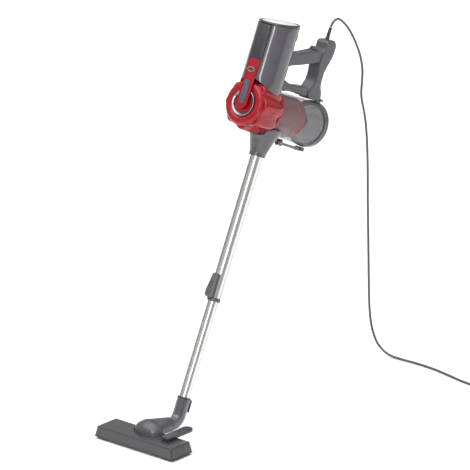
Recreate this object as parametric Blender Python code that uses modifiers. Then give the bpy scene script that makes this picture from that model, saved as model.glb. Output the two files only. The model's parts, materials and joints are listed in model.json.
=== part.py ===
"""Corded stick vacuum cleaner with a cyclone hand unit, a telescopic wand and a floor head.

Metres, +Z up, the front of the machine faces -Y, and it stands on Z = 0.
Every size below is in millimetres and is scaled by MM where a shape is made.

Two frames carry the parts.  Head parts hang on the empty "head_frame", whose axes are the
world's.  Wand and hand-unit parts hang on "unit_frame", which leans back with the wand: there
X is sideways, Y runs rearwards (called R below) and Z runs up along the wand (called W).
"""
import math

import bmesh
import bpy
from mathutils import Matrix, Vector

MM = 0.001
GAP = 0.3                      # clearance between touching pieces

# ---- placing of the two frames ------------------------------------------------------------
HEAD_Y = -354.1                # floor head's centre, so that the whole stands centred on Y = 0
LEAN = math.radians(26.0)      # the wand leans back from vertical
INLET_Y, INLET_Z = 447.0, 676.0  # hand unit's inlet, from the head's centre on the floor

# ---- floor head ---------------------------------------------------------------------------
HEAD_WIDTH, HEAD_DEPTH = 269.0, 81.0
HEAD_TOP_WIDTH, HEAD_TOP_DEPTH = 255.0, 73.0
HEAD_SKIRT, HEAD_TOP = 5.0, 35.5
HEAD_WALL = 3.0
SOLE_LOW, SOLE_HIGH = 3.3, 8.0
BRUSH_HALF, BRUSH_Y, BRUSH_THICK = 90.0, 18.5, 4.6
WHEEL_X, WHEEL_Y, WHEEL_R, WHEEL_W = 105.0, 26.0, 10.0, 10.0
AXLE_R = 1.7
TILT_Y, TILT_Z = 24.0, 33.0    # the neck boot rocks in the head about this line
BOOT_R, BOOT_HALF = 31.0, 45.0
BARREL_R, BARREL_HALF = 17.0, 38.0
SWIVEL_Z = 30.0                # height of the swivel's axis behind the head
NECK_R, NECK_END = 17.0, 100.0
PEDAL_X, PEDAL_Y, PEDAL_Z = 77.0, 30.0, 40.0

# ---- wand ---------------------------------------------------------------------------------
WAND_LOW = -653.0              # the lower tube enters the elbow's socket here
SOCKET_DEPTH = 40.0
LOWER_R, LOWER_BORE = 14.0, 12.5
UPPER_R, UPPER_BORE = 16.5, 15.2
UPPER_END = -392.0
LOWER_TOP = -300.0
NOTCHES, NOTCH_FIRST, NOTCH_PITCH = 10, -410.0, 23.4
ELBOW_R, ELBOW_BORE, ELBOW_BEND = 18.0, 12.0, 30.0

# ---- hand unit ----------------------------------------------------------------------------
NOZZLE_DEPTH = 36.0            # the upper tube enters the nozzle this far
HOUSING_AXIS, HOUSING_R, HOUSING_WALL = -69.0, 55.0, 2.6
HOUSING_TOP, TOP_SLANT = 350.0, math.radians(10.5)
DRUM_W = 122.0                 # axis of the drum and of the dust cup, along R
DRUM_FRONT, DRUM_BACK, DRUM_R, LOBE = -109.0, -30.0, 65.0, 3.2
LOBES = 8
CLEAR_R = DRUM_R + LOBE + 0.8  # what sits over the drum is cut back to this radius
PANEL_FRONT = -127.0
TONGUE_TOP, TONGUE_LOW = 238.8, 105.0
CUP_BACK, CUP_R_FRONT, CUP_R_BACK, CUP_WALL = 171.0, 58.0, 61.0, 2.5
HINGE_R, HINGE_W = 178.0, 189.0
LATCH_R, LATCH_W = 73.0, 51.0
HANDLE_HALF = 19.0
ARM_HALF = 16.0

# ---- mains cord ---------------------------------------------------------------------------
CORD_D = 6.5
RELIEF_R, RELIEF_LOW, RELIEF_HIGH = 143.0, 346.5, 379.5
COIL_X, COIL_Y = 400.0, 950.0
COIL_IN, COIL_OUT, COIL_HIGH = 26.0, 56.0, 26.5

FINISHES = {                   # colour, roughness, metallic
    "black_gloss": ((0.035, 0.033, 0.036), 0.28, 0.0),
    "grey_gloss": ((0.085, 0.082, 0.088), 0.25, 0.0),
    "grey_matte": ((0.070, 0.068, 0.072), 0.50, 0.0),
    "red_gloss": ((0.42, 0.025, 0.035), 0.22, 0.0),
    "red_dark": ((0.22, 0.012, 0.018), 0.30, 0.0),
    "silver": ((0.78, 0.79, 0.80), 0.30, 0.3),
    "chrome": ((0.80, 0.80, 0.80), 0.12, 1.0),
    "steel": ((0.62, 0.62, 0.63), 0.30, 1.0),
    "slate": ((0.16, 0.19, 0.25), 0.20, 0.0),
    "clear": ((0.45, 0.46, 0.46), 0.08, 0.0),
    "rubber": ((0.030, 0.030, 0.032), 0.70, 0.0),
    "filter_white": ((0.75, 0.74, 0.70), 0.85, 0.0),
    "motor_metal": ((0.50, 0.48, 0.45), 0.45, 1.0),
}

PLACES = {"W": (0.0, 0.0, 0.0), "R": (-math.pi / 2, 0.0, 0.0), "X": (0.0, math.pi / 2, 0.0)}


# ---- scene and materials ------------------------------------------------------------------

def clear_scene():
    """Remove every object that the file opened with."""
    for obj in list(bpy.data.objects):
        bpy.data.objects.remove(obj, do_unlink=True)


def new_collection(name):
    """A collection linked to the scene."""
    collection = bpy.data.collections.new(name)
    bpy.context.scene.collection.children.link(collection)
    return collection


def finish_material(finish):
    """The Principled material of a finish, made once."""
    if finish in bpy.data.materials:
        return bpy.data.materials[finish]
    colour, roughness, metallic = FINISHES[finish]
    material = bpy.data.materials.new(finish)
    material.use_nodes = True
    shader = material.node_tree.nodes["Principled BSDF"]
    shader.inputs["Base Color"].default_value = (*colour, 1.0)
    shader.inputs["Roughness"].default_value = roughness
    shader.inputs["Metallic"].default_value = metallic
    return material


clear_scene()
PARTS = new_collection("stick_vacuum_cleaner")
CUTTERS = new_collection("cutters")


def frame_empty(name, location, rotation=(0.0, 0.0, 0.0)):
    """An empty that carries a group of parts."""
    empty = bpy.data.objects.new(name, None)
    PARTS.objects.link(empty)
    empty.location = Vector(location) * MM
    empty.rotation_euler = rotation
    return empty


def add_object(name, data, finish, parent, at, turn):
    """Put data in the scene as a part, or as a cutter where finish is None."""
    obj = bpy.data.objects.new(name, data)
    obj.parent = parent
    obj.location = Vector(at) * MM
    obj.rotation_euler = turn
    if finish is None:
        CUTTERS.objects.link(obj)
        obj.hide_render = True
        obj.display_type = "WIRE"
    else:
        PARTS.objects.link(obj)
        obj.data.materials.append(finish_material(finish))
    return obj


def mesh_from(bm, name):
    """A mesh datablock from bm, with its flat faces kept sharp."""
    mesh = bpy.data.meshes.new(name)
    bm.to_mesh(mesh)
    bm.free()
    mesh.shade_smooth()
    mesh.set_sharp_from_angle(angle=math.radians(35))
    return mesh


# ---- basic solids -------------------------------------------------------------------------

def bevel(obj, width, segments=2, angle=40.0):
    """Round the edges of obj that are sharper than angle degrees."""
    modifier = obj.modifiers.new("rounded_edges", "BEVEL")
    modifier.width = width * MM
    modifier.segments = segments
    modifier.limit_method = "ANGLE"
    modifier.angle_limit = math.radians(angle)
    return obj


def box(name, low, high, finish, parent, rounding=0.0, turn=(0.0, 0.0, 0.0)):
    """A block between two corners of its parent's frame."""
    low, high = Vector(low), Vector(high)
    bm = bmesh.new()
    bmesh.ops.create_cube(bm, size=1.0)
    bmesh.ops.scale(bm, vec=(high - low) * MM, verts=bm.verts)
    obj = add_object(name, mesh_from(bm, name), finish, parent, (low + high) / 2, turn)
    if rounding:
        bevel(obj, rounding)
    return obj


def tapered_box(name, base, top, low, high, finish, parent, rounding=0.0):
    """A block whose (X, Y) size goes from base at Z = low to top at Z = high."""
    bm = bmesh.new()
    bmesh.ops.create_cube(bm, size=1.0)
    for vert in bm.verts:
        size, height = (top, high) if vert.co.z > 0 else (base, low)
        vert.co = Vector((vert.co.x * size[0], vert.co.y * size[1], height)) * MM
    obj = add_object(name, mesh_from(bm, name), finish, parent, (0, 0, 0), (0, 0, 0))
    if rounding:
        bevel(obj, rounding)
    return obj


def turned(name, profile, finish, parent, at=(0, 0, 0), axis="W", steps=32):
    """A turned solid from (radius, height) points; one that ends on the axis isn't a ring."""
    points = list(profile)
    area = sum(a[0] * b[1] - b[0] * a[1] for a, b in zip(points, points[1:] + points[:1]))
    if area > 0:
        points.reverse()
    mesh = bpy.data.meshes.new(name)
    edges = [(i, i + 1) for i in range(len(points) - 1)]
    if points[0][0] > 0 and points[-1][0] > 0:
        edges.append((len(points) - 1, 0))
    mesh.from_pydata([(r * MM, 0, h * MM) for r, h in points], edges, [])
    turn = PLACES[axis] if isinstance(axis, str) else axis
    obj = add_object(name, mesh, finish, parent, at, turn)
    screw = obj.modifiers.new("turned", "SCREW")
    screw.angle = 2 * math.pi
    screw.steps = screw.render_steps = steps
    screw.use_merge_vertices = True
    screw.merge_threshold = 0.00001
    return obj


def disc(radius, low, high, edge=0.0):
    """Profile of a plain disc or rod, with its rims chamfered by edge."""
    if not edge:
        return [(0, high), (radius, high), (radius, low), (0, low)]
    return [(0, high), (radius - edge, high), (radius, high - edge),
            (radius, low + edge), (radius - edge, low), (0, low)]


def ring(inner, outer, low, high, edge=0.0):
    """Profile of a ring, with its outer rims chamfered by edge."""
    if not edge:
        return [(inner, high), (outer, high), (outer, low), (inner, low)]
    return [(inner, high), (outer - edge, high), (outer, high - edge),
            (outer, low + edge), (outer - edge, low), (inner, low)]


def to_mesh(curve_obj, finish):
    """Replace a curve object by its closed mesh."""
    bpy.context.view_layer.update()
    evaluated = curve_obj.evaluated_get(bpy.context.evaluated_depsgraph_get())
    mesh = bpy.data.meshes.new_from_object(evaluated)
    bm = bmesh.new()
    bm.from_mesh(mesh)
    bmesh.ops.remove_doubles(bm, verts=bm.verts, dist=0.00002)
    bmesh.ops.dissolve_limit(bm, angle_limit=math.radians(1), verts=bm.verts, edges=bm.edges)
    bmesh.ops.recalc_face_normals(bm, faces=bm.faces)
    bpy.data.meshes.remove(mesh)
    name, parent, matrix = curve_obj.name, curve_obj.parent, curve_obj.matrix_world.copy()
    bpy.data.objects.remove(curve_obj, do_unlink=True)
    obj = add_object(name, mesh_from(bm, name), finish, parent, (0, 0, 0), (0, 0, 0))
    obj.matrix_world = matrix
    return obj


PLANES = {                     # an outline's first and second axis, and the way it is thickened
    "RW": (math.pi / 2, 0.0, math.pi / 2),   # thickened along X
    "XW": (math.pi / 2, 0.0, 0.0),           # thickened along R
    "XY": (0.0, 0.0, 0.0),                   # thickened along Z
}


def slab(name, outline, thick, finish, parent, at=(0, 0, 0), plane="RW", smooth=0, rounding=0.0):
    """A flat outline thickened equally both ways from at; smooth gives spans per curved side."""
    curve = bpy.data.curves.new(name, "CURVE")
    curve.dimensions = "2D"
    curve.fill_mode = "BOTH"
    curve.extrude = thick * MM / 2
    curve.resolution_u = max(smooth, 1)
    spline = curve.splines.new("BEZIER" if smooth else "POLY")
    knots = spline.bezier_points if smooth else spline.points
    knots.add(len(outline) - 1)
    for knot, (u, v) in zip(knots, outline):
        if smooth:
            knot.co = (u * MM, v * MM, 0)
            knot.handle_left_type = knot.handle_right_type = "AUTO"
        else:
            knot.co = (u * MM, v * MM, 0, 1)
    spline.use_cyclic_u = True
    obj = bpy.data.objects.new(name, curve)
    PARTS.objects.link(obj)
    obj.parent = parent
    obj.location = Vector(at) * MM
    obj.rotation_euler = PLANES[plane]
    obj = to_mesh(obj, finish)
    if rounding:
        bevel(obj, rounding, 2, 50.0)
    return obj


def pipe(name, path, radius, finish, parent, sides=2):
    """A solid bar along a path of points, with flat ends."""
    curve = bpy.data.curves.new(name, "CURVE")
    curve.dimensions = "3D"
    curve.bevel_depth = radius * MM
    curve.bevel_resolution = sides
    curve.use_fill_caps = True
    spline = curve.splines.new("POLY")
    spline.points.add(len(path) - 1)
    for knot, point in zip(spline.points, path):
        knot.co = (*(Vector(point) * MM), 1)
    obj = bpy.data.objects.new(name, curve)
    PARTS.objects.link(obj)
    obj.parent = parent
    return to_mesh(obj, finish)


def arc(centre, radius, start, end, count):
    """Points along an arc, angles in degrees, the last one left out."""
    step = (end - start) / count
    angles = (math.radians(start + step * i) for i in range(count))
    return [(centre[0] + radius * math.cos(a), centre[1] + radius * math.sin(a)) for a in angles]


def combine(obj, operation, *others):
    """Boolean obj with each of the others."""
    for other in others:
        modifier = obj.modifiers.new(other.name, "BOOLEAN")
        modifier.operation = operation
        modifier.object = other
        modifier.solver = "EXACT"
    return obj


def cut(obj, *cutters):
    """Take the cutters away from obj."""
    return combine(obj, "DIFFERENCE", *cutters)


def join(obj, *pieces):
    """Add the pieces to obj."""
    return combine(obj, "UNION", *pieces)


# ---- floor head ---------------------------------------------------------------------------

def build_sole(head):
    """Bottom plate with the suction mouth, brush slots, wheel wells and two front glides."""
    sole = box("head_sole", (-129.5, -36.2, SOLE_LOW), (129.5, 36.2, SOLE_HIGH), "grey_matte", head)
    for side in (-1, 1):
        near, far = sorted((side * 92, side * 124))
        join(sole, box(f"glide_{side}", (near, -36, 0), (far, -24, SOLE_LOW + 1), None, head))
        near, far = sorted((side * 98, side * 112))
        cut(sole, box(f"wheel_well_{side}", (near, 13, -1), (far, 38, 20), None, head))
        slot = (BRUSH_Y * side - 3, BRUSH_Y * side + 3)
        cut(sole, box(f"brush_slot_{side}", (-BRUSH_HALF - 2, slot[0], -1),
                      (BRUSH_HALF + 2, slot[1], 20), None, head))
    cut(sole, box("suction_mouth", (-100, -6, -1), (100, 6, 20), None, head))


def build_head_cover(head):
    """Sloping top shell with a saddle for the neck boot."""
    cover = tapered_box("head_cover", (HEAD_WIDTH, HEAD_DEPTH), (HEAD_TOP_WIDTH, HEAD_TOP_DEPTH),
                        HEAD_SKIRT, HEAD_TOP, "black_gloss", head, 3.0)
    wall = 2 * HEAD_WALL
    inside = tapered_box("head_inside", (HEAD_WIDTH - wall, HEAD_DEPTH - wall),
                         (HEAD_TOP_WIDTH - wall, HEAD_TOP_DEPTH - wall),
                         HEAD_SKIRT - 1, HEAD_TOP - HEAD_WALL, None, head)
    saddle = spheroid("saddle", BOOT_HALF + 1.5, BOOT_R + 1.2, None, head)
    notch = box("neck_notch", (-40, TILT_Y, 13), (40, 60, 60), None, head)
    cut(cover, inside, saddle, notch)


def spheroid(name, half, radius, finish, parent):
    """A ball stretched along X, centred on the tilt line."""
    bm = bmesh.new()
    bmesh.ops.create_uvsphere(bm, u_segments=28, v_segments=16, radius=1.0)
    bmesh.ops.rotate(bm, verts=bm.verts, matrix=Matrix.Rotation(math.pi / 2, 3, "Y"))
    bmesh.ops.scale(bm, vec=Vector((half, radius, radius)) * MM, verts=bm.verts)
    return add_object(name, mesh_from(bm, name), finish, parent, (0, TILT_Y, TILT_Z), (0, 0, 0))


def build_brushes(head):
    """Two bristle strips on a frame that the pedal lifts."""
    carrier = box("brush_carrier", (-92, -23, SOLE_HIGH + 0.6), (92, 23, SOLE_HIGH + 3.4),
                  "grey_matte", head)
    cut(carrier, box("carrier_hole", (-58, -13, 0), (58, 13, 30), None, head))
    for name, side in (("front", -1), ("rear", 1)):
        near, far = BRUSH_Y * side - BRUSH_THICK / 2, BRUSH_Y * side + BRUSH_THICK / 2
        box(f"bristles_{name}", (-BRUSH_HALF, near, 0.8), (BRUSH_HALF, far, SOLE_HIGH + 0.3),
            "rubber", head)


def build_wheels(head):
    """Two rear wheels, each on its own axle."""
    for name, side in (("left", -1), ("right", 1)):
        at = (side * WHEEL_X, WHEEL_Y, WHEEL_R)
        turned(f"wheel_{name}", ring(AXLE_R + GAP, WHEEL_R, -WHEEL_W / 2, WHEEL_W / 2, 1.0),
               "rubber", head, at, "X", 24)
        turned(f"axle_{name}", disc(AXLE_R, -9.5, 9.5), "steel", head, at, "X", 10)


def build_pedal(head):
    """Rocker pedal on its bracket and pin."""
    tip = arc((62.0 - 15.0 + 6.0, 0), 15.0, -90, 90, 8)
    outline = [(-35.0, -13.0)] + tip + [(53.0, 15.0), (-35.0, 13.0)]
    outline = [(v, u) for u, v in reversed(outline)]
    at = (PEDAL_X, PEDAL_Y - 30.0, PEDAL_Z + 1.3)
    pedal = slab("brush_pedal", [(x, y + 30.0) for x, y in outline], 8.0, "black_gloss", head,
                 at, "XY", 0, 1.5)
    room = box("pedal_room", (PEDAL_X - 5.5, PEDAL_Y - 9, 30), (PEDAL_X + 5.5, PEDAL_Y + 9, 43.2),
               None, head)
    pivot = (PEDAL_X, PEDAL_Y, PEDAL_Z)
    cut(pedal, room, turned("pedal_pin_hole", disc(2.1, -11.5, 11.5), None, head, pivot, "X", 12))
    bracket = box("pedal_bracket", (PEDAL_X - 5, PEDAL_Y - 4, HEAD_TOP + GAP),
                  (PEDAL_X + 5, PEDAL_Y + 4, 42.5), "grey_matte", head)
    cut(bracket, turned("bracket_hole", disc(2.1, -20, 20), None, head, pivot, "X", 12))
    turned("pedal_pin", disc(1.8, -11, 11), "steel", head, pivot, "X", 10)


def build_neck(head):
    """Boot that rocks in the head and carries the swivel."""
    boot = spheroid("neck_boot", BOOT_HALF, BOOT_R, "grey_gloss", head)
    cut(boot, box("boot_underside", (-60, -20, -20), (60, 80, TILT_Z + 1.5), None, head))
    pivot = (0, TILT_Y, TILT_Z)
    barrel = turned("barrel", disc(BARREL_R, -BARREL_HALF, BARREL_HALF, 2.0), None, head, pivot,
                    "X", 28)
    join(boot, barrel, neck_taper(head))
    mouth = box("boot_mouth", (-13, TILT_Y - 11, 0), (13, TILT_Y + 11, TILT_Z), None, head)
    bore = turned("neck_bore", disc(ELBOW_BORE, TILT_Y, NECK_END + 10), None, head,
                  (0, 0, SWIVEL_Z), "R", 20)
    cut(boot, mouth, bore)
    turned("swivel_ring", ring(ELBOW_BORE + 1, NECK_R + 1.2, NECK_END + GAP, NECK_END + 4.3, 0.8),
           "black_gloss", head, (0, 0, SWIVEL_Z), "R", 28)


def neck_taper(head):
    """The boot's tail, an oval that narrows to the round neck."""
    bm = bmesh.new()
    bmesh.ops.create_cone(bm, cap_ends=True, segments=28, radius1=1.0, radius2=1.0, depth=2.0)
    for vert in bm.verts:
        if vert.co.z > 0:
            centre, half, high = (NECK_END, SWIVEL_Z + 1.5), NECK_R + 5.0, NECK_R + 2.5
        else:
            centre, half, high = (TILT_Y + 6.0, 42.5), 38.0, 22.5
        vert.co = Vector((vert.co.x * half, centre[0], centre[1] - vert.co.y * high)) * MM
    bmesh.ops.recalc_face_normals(bm, faces=bm.faces)
    return add_object("neck_taper", mesh_from(bm, "neck_taper"), None, head, (0, 0, 0), (0, 0, 0))


def elbow_path(start, margin):
    """Centre line of the elbow in the head's frame, from start, running margin past the socket."""
    along = Vector((0.0, math.sin(LEAN), math.cos(LEAN)))
    inlet = Vector((0.0, INLET_Y, INLET_Z))
    top = inlet + along * (WAND_LOW + margin)
    corner_y = top.y - (top.z - SWIVEL_Z) * math.tan(LEAN)
    turn = math.pi / 2 - LEAN
    tangent = ELBOW_BEND * math.tan(turn / 2)
    centre = Vector((0.0, corner_y - tangent, SWIVEL_Z + ELBOW_BEND))
    bends = [centre + ELBOW_BEND * Vector((0, math.sin(turn * i / 7), -math.cos(turn * i / 7)))
             for i in range(8)]
    return [Vector((0.0, start, SWIVEL_Z))] + bends + [top]


def build_elbow(head, unit):
    """Elbow pipe with its socket, and the hook for parking the wand."""
    elbow = pipe("elbow", elbow_path(NECK_END + 4.6, 0.0), ELBOW_R, "grey_gloss", head, 5)
    airway = pipe("elbow_airway", elbow_path(NECK_END, -10.0), ELBOW_BORE, None, head, 4)
    socket = turned("socket_bore", disc(LOWER_R + GAP, WAND_LOW - SOCKET_DEPTH, WAND_LOW + 5),
                    None, unit)
    cut(elbow, airway, socket)
    near, far, top = ELBOW_R + GAP, 28.5, WAND_LOW - 3.0
    hook = [(near, top), (far, top), (far, top - 33), (far - 4, top - 33), (far - 4, top - 9),
            (near, top - 9)]
    slab("parking_hook", hook, 14.0, "black_gloss", unit, rounding=0.8)


# ---- wand ---------------------------------------------------------------------------------

def build_wand(unit):
    """Two telescopic steel tubes, the bush between them and the lock."""
    lower = turned("lower_tube", ring(LOWER_BORE, LOWER_R, WAND_LOW - SOCKET_DEPTH + 1, LOWER_TOP),
                   "chrome", unit, steps=28)
    for i in range(NOTCHES):
        at = (0, -LOWER_R - 4, NOTCH_FIRST - NOTCH_PITCH * i)
        cut(lower, turned(f"notch_{i}", disc(5.0, -10, 10), None, unit, at, "X", 12))
    turned("upper_tube", ring(UPPER_BORE, UPPER_R, UPPER_END, NOZZLE_DEPTH - 2), "chrome", unit,
           steps=32)
    turned("tube_bush", ring(LOWER_R + GAP, UPPER_BORE - GAP, UPPER_END + 1, UPPER_END + 52),
           "rubber", unit, steps=24)
    base = box("lock_base", (-10, -21, -386), (10, -10, -321), "black_gloss", unit)
    cut(base, turned("tube_room", disc(UPPER_R + GAP, -400, -300), None, unit))
    wedge = [(-21.3, -323), (-23.5, -322), (-27, -338), (-33.5, -366), (-33.0, -380),
             (-30.0, -385), (-21.3, -385)]
    slab("lock_slider", wedge, 19.0, "grey_gloss", unit, rounding=1.2)


# ---- hand unit: nozzle, motor housing, drum ------------------------------------------------

def round_room(name, radius, low, high, unit, centre=DRUM_W):
    """Cutter round the drum's axis, from R = low to high."""
    return turned(name, disc(radius, low, high), None, unit, (0, 0, centre), "R", 48)


def build_nozzle(unit):
    """Flared inlet with the button that lets the wand go."""
    profile = [(0, 78), (45, 78), (44, 71), (33, 45), (25.5, 20), (22.5, 9), (22, 0), (0, 0)]
    nozzle = turned("inlet_nozzle", profile, "grey_gloss", unit, steps=32)
    under_drum = round_room("nozzle_under_drum", CLEAR_R, -120, DRUM_BACK + 1, unit)
    under_cup = round_room("nozzle_under_cup", CUP_R_BACK + 0.6, DRUM_BACK, 80, unit)
    socket = turned("wand_socket", disc(UPPER_R + GAP, -1, NOZZLE_DEPTH), None, unit)
    bore = turned("inlet_bore", disc(13.5, 5, 90), None, unit, steps=24)
    pocket = box("button_pocket", (-8, 19, 14), (8, 60, 46), None, unit)
    cut(nozzle, under_drum, under_cup, socket, bore, pocket)
    button = [(23.5, 14.8), (28, 15.5), (36, 44), (35, 45.2), (23.5, 45.2)]
    slab("wand_release_button", button, 15.0, "black_gloss", unit, rounding=0.8)


def slanted_top(name, drop, unit):
    """Cutter that takes away all above the housing's slanted top, less drop."""
    obj = box(name, (-90, -110, 0), (90, 110, 80), None, unit)
    obj.rotation_euler = (TOP_SLANT, 0, 0)
    middle = Vector((0, HOUSING_AXIS, HOUSING_TOP - drop))
    lift = Vector((0, -math.sin(TOP_SLANT), math.cos(TOP_SLANT))) * 40
    obj.location = (middle + lift) * MM
    return obj


def build_housing(unit):
    """Motor housing and the rim and cap that close its slanted top."""
    inner = HOUSING_R - HOUSING_WALL
    housing = turned("motor_housing", ring(inner, HOUSING_R, 120, 370), "grey_gloss", unit,
                     (0, HOUSING_AXIS, 0), steps=48)
    saddle = round_room("housing_saddle", CLEAR_R, -150, 20, unit)
    cut(housing, saddle, slanted_top("housing_top_cut", 7.0, unit))
    turn = (TOP_SLANT, 0, 0)
    top = (0, HOUSING_AXIS, HOUSING_TOP)
    rim = [(47.5, -1.5), (49.5, 0), (52, 0), (54.6, -2.2), (54.6, -6.7), (47.5, -6.7)]
    turned("cap_rim", rim, "black_gloss", unit, top, turn, 48)
    cap = [(0, 5.4), (20, 4.6), (36, 2.2), (45, -0.6), (47.2, -3), (47.2, -6.5), (0, -6.5)]
    turned("top_cap", cap, "silver", unit, top, turn, 48)


def build_front(unit):
    """Dark front panel, red tongue, slot inlay and plain oval badge."""
    room = turned("housing_room", disc(HOUSING_R + GAP, 100, 400), None, unit,
                  (0, HOUSING_AXIS, 0), steps=48)
    panel = box("front_panel", (-20.5, PANEL_FRONT, TONGUE_TOP + GAP), (20.5, -112, 360),
                "black_gloss", unit)
    cut(panel, room, slanted_top("panel_top_cut", 7.2, unit))
    half = 17.5
    foot = arc((0, TONGUE_LOW + half), half, 180, 360, 12)
    outline = [(-19.0, TONGUE_TOP)] + foot + [(half, TONGUE_LOW + half), (19.0, TONGUE_TOP)]
    middle = (PANEL_FRONT - 112.0) / 2
    tongue = slab("front_tongue", outline, -112.0 - PANEL_FRONT, "red_gloss", unit,
                  (0, middle, 0), "XW")
    cut(tongue, room, round_room("tongue_over_drum", CLEAR_R + 2, -124.3, -90, unit))
    low, high, wide = 127.6, 173.8, 9.0
    stadium = arc((0, low), wide, 180, 360, 10) + arc((0, high), wide, 0, 180, 10)
    slab("slot_inlay", stadium, 1.2, "slate", unit, (0, PANEL_FRONT - 0.9, 0), "XW")
    oval = [(12.0 * x, 210.0 + 6.5 * y) for x, y in arc((0, 0), 1.0, 0, 360, 20)]
    slab("badge", oval, 1.0, "black_gloss", unit, (0, PANEL_FRONT - 0.8, 0), "XW")


def lobed_outline():
    """Outline of the drum, a circle with rounded lobes."""
    count = LOBES * 10
    turns = [math.tau * i / count for i in range(count)]
    radii = [DRUM_R + LOBE * math.cos(LOBES * (a - math.radians(5))) for a in turns]
    return [(r * math.cos(a), DRUM_W + r * math.sin(a)) for r, a in zip(radii, turns)]


def build_drum(unit):
    """Lobed drum, the raised bezel on its face and the polished ring."""
    middle = (DRUM_FRONT + DRUM_BACK) / 2
    drum = slab("drum_cover", lobed_outline(), DRUM_BACK - DRUM_FRONT, "red_gloss", unit,
                (0, middle, 0), "XW")
    cut(drum, round_room("drum_bore", 54.0, DRUM_FRONT + 4, DRUM_BACK + 5, unit))
    face = DRUM_FRONT - GAP
    bezel = [(0, -117.5), (37, -117.5), (42, -120), (50, -121.2), (57, -118.5), (60.5, -113),
             (60.5, face), (0, face)]
    turned("drum_bezel", bezel, "red_gloss", unit, (0, 0, DRUM_W), "R", 48)
    polished = [(28, -119), (30, -121), (34.5, -123.6), (36.5, -123), (36.7, -117.8),
                (28, -117.8)]
    turned("drum_ring", polished, "chrome", unit, (0, 0, DRUM_W), "R", 48)


def build_motor(unit):
    """Motor on its rubber mount, with the shaft, impeller and exhaust filter."""
    at = (0, HOUSING_AXIS, 0)
    turned("motor", ring(4.4, 36.0, 228, 298, 2.0), "motor_metal", unit, at, steps=28)
    turned("motor_mount", ring(36.3, 52.0, 246, 256), "rubber", unit, at, steps=28)
    turned("motor_shaft", disc(4.0, 200, 306), "steel", unit, at, steps=12)
    impeller = turned("impeller", ring(4.3, 40.0, 202, 205), "silver", unit, at, steps=28)
    hub = turned("impeller_hub", ring(4.3, 9.0, 203, 219), None, unit, at, steps=28)
    join(impeller, hub)
    for i in range(7):
        angle = math.tau * i / 7
        blade = box(f"blade_{i}", (-16, -1, 0), (16, 1, 14), None, unit)
        blade.location = Vector((23 * math.cos(angle), HOUSING_AXIS + 23 * math.sin(angle),
                                 211)) * MM
        blade.rotation_euler = (0, 0, angle)
        join(impeller, blade)
    turned("exhaust_filter", disc(50.0, 311, 323, 1.0), "filter_white", unit, at, steps=28)


# ---- hand unit: dust cup -------------------------------------------------------------------

def build_cup(unit):
    """Clear cup with the cyclone, cone and filter inside it."""
    at = (0, 0, DRUM_W)
    front = DRUM_BACK + GAP
    wall = [(CUP_R_FRONT, front), (CUP_R_BACK, CUP_BACK), (CUP_R_BACK - CUP_WALL, CUP_BACK),
            (CUP_R_FRONT - CUP_WALL, front)]
    cup = turned("dust_cup", wall, "clear", unit, at, "R", 48)
    cut(cup, turned("cup_inlet", disc(13.0, 50, 80), None, unit, steps=20))
    body = [(0, front), (51, front), (52, 0), (52, 62), (0, 62)]
    cyclone = turned("cyclone_body", body, "red_gloss", unit, at, "R", 40)
    cut(cyclone, round_room("cyclone_hollow", 42.0, front - 5, 55, unit))
    turned("cyclone_band", ring(24.0, 52.4, 62.3, 86, 1.0), "red_dark", unit, at, "R", 40)
    cone = [(23, 86.3), (36, 86.3), (30, 120), (22, 136), (0, 138), (0, 133), (17, 131), (23, 118)]
    turned("cyclone_cone", cone, "grey_matte", unit, at, "R", 32)
    turned("hepa_filter", disc(40.0, front + 2, 50, 1.0), "filter_white", unit, at, "R", 28)


def build_door(unit):
    """Rear door with its seal and hinge, and the latch under the cup."""
    at = (0, 0, DRUM_W)
    face = CUP_BACK + GAP
    dome = [(0, face), (61.5, face), (61.5, face + 4), (58, face + 6), (40, face + 9),
            (0, face + 11)]
    door = turned("bin_door", dome, "clear", unit, at, "R", 48)
    turned("door_seal", ring(50.0, 55.5, CUP_BACK - 4, CUP_BACK), "rubber", unit, at, "R", 40)
    pin_at = (0, HINGE_R, HINGE_W)
    ear = box("door_ear", (-9, HINGE_R - 3.4, 176), (9, HINGE_R + 3.4, HINGE_W + 3.4), None, unit)
    join(door, ear)
    cut(door, turned("door_pin_hole", disc(2.3, -20, 20), None, unit, pin_at, "X", 12))
    turned("hinge_pin", disc(2.0, -15, 15), "steel", unit, pin_at, "X", 12)
    bracket = box("hinge_bracket", (-15.5, 171.5, HINGE_W - 3), (15.5, HINGE_R + 4, HINGE_W + 4),
                  "grey_matte", unit)
    gap = box("bracket_gap", (-9.5, HINGE_R - 5, 150), (9.5, HINGE_R + 30, 220), None, unit)
    hole = turned("bracket_pin_hole", disc(2.2, -30, 30), None, unit, pin_at, "X", 12)
    cut(bracket, gap, hole)
    build_latch(unit)


def build_latch(unit):
    """Sprung bar under the cup, on a lug and a pin."""
    pivot = (0, LATCH_R, LATCH_W)
    lug = box("latch_lug", (-5, LATCH_R - 7, LATCH_W - 5), (5, LATCH_R + 7, 70), "grey_matte",
              unit)
    cut(lug, round_room("lug_under_cup", CUP_R_BACK - 0.4, 40, 110, unit),
        turned("lug_hole", disc(2.3, -20, 20), None, unit, pivot, "X", 12))
    bar = box("bin_latch", (-8, LATCH_R - 12, LATCH_W - 3.5), (8, 168, LATCH_W + 3.5),
              "grey_gloss", unit)
    knob = turned("latch_knob", disc(8.0, -8.6, 8.6, 1.0), None, unit, pivot, "X", 20)
    catch = box("latch_catch", (-12, 158, LATCH_W - 3.5), (12, 168.5, 58.6), None, unit)
    join(bar, knob, catch)
    slot = box("latch_slot", (-5.4, LATCH_R - 9, 30), (5.4, LATCH_R + 9, 80), None, unit)
    hole = turned("latch_pin_hole", disc(2.3, -20, 20), None, unit, pivot, "X", 12)
    cut(bar, slot, hole)
    turned("latch_pin", disc(2.0, -8.4, 8.4), "steel", unit, pivot, "X", 12)


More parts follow.
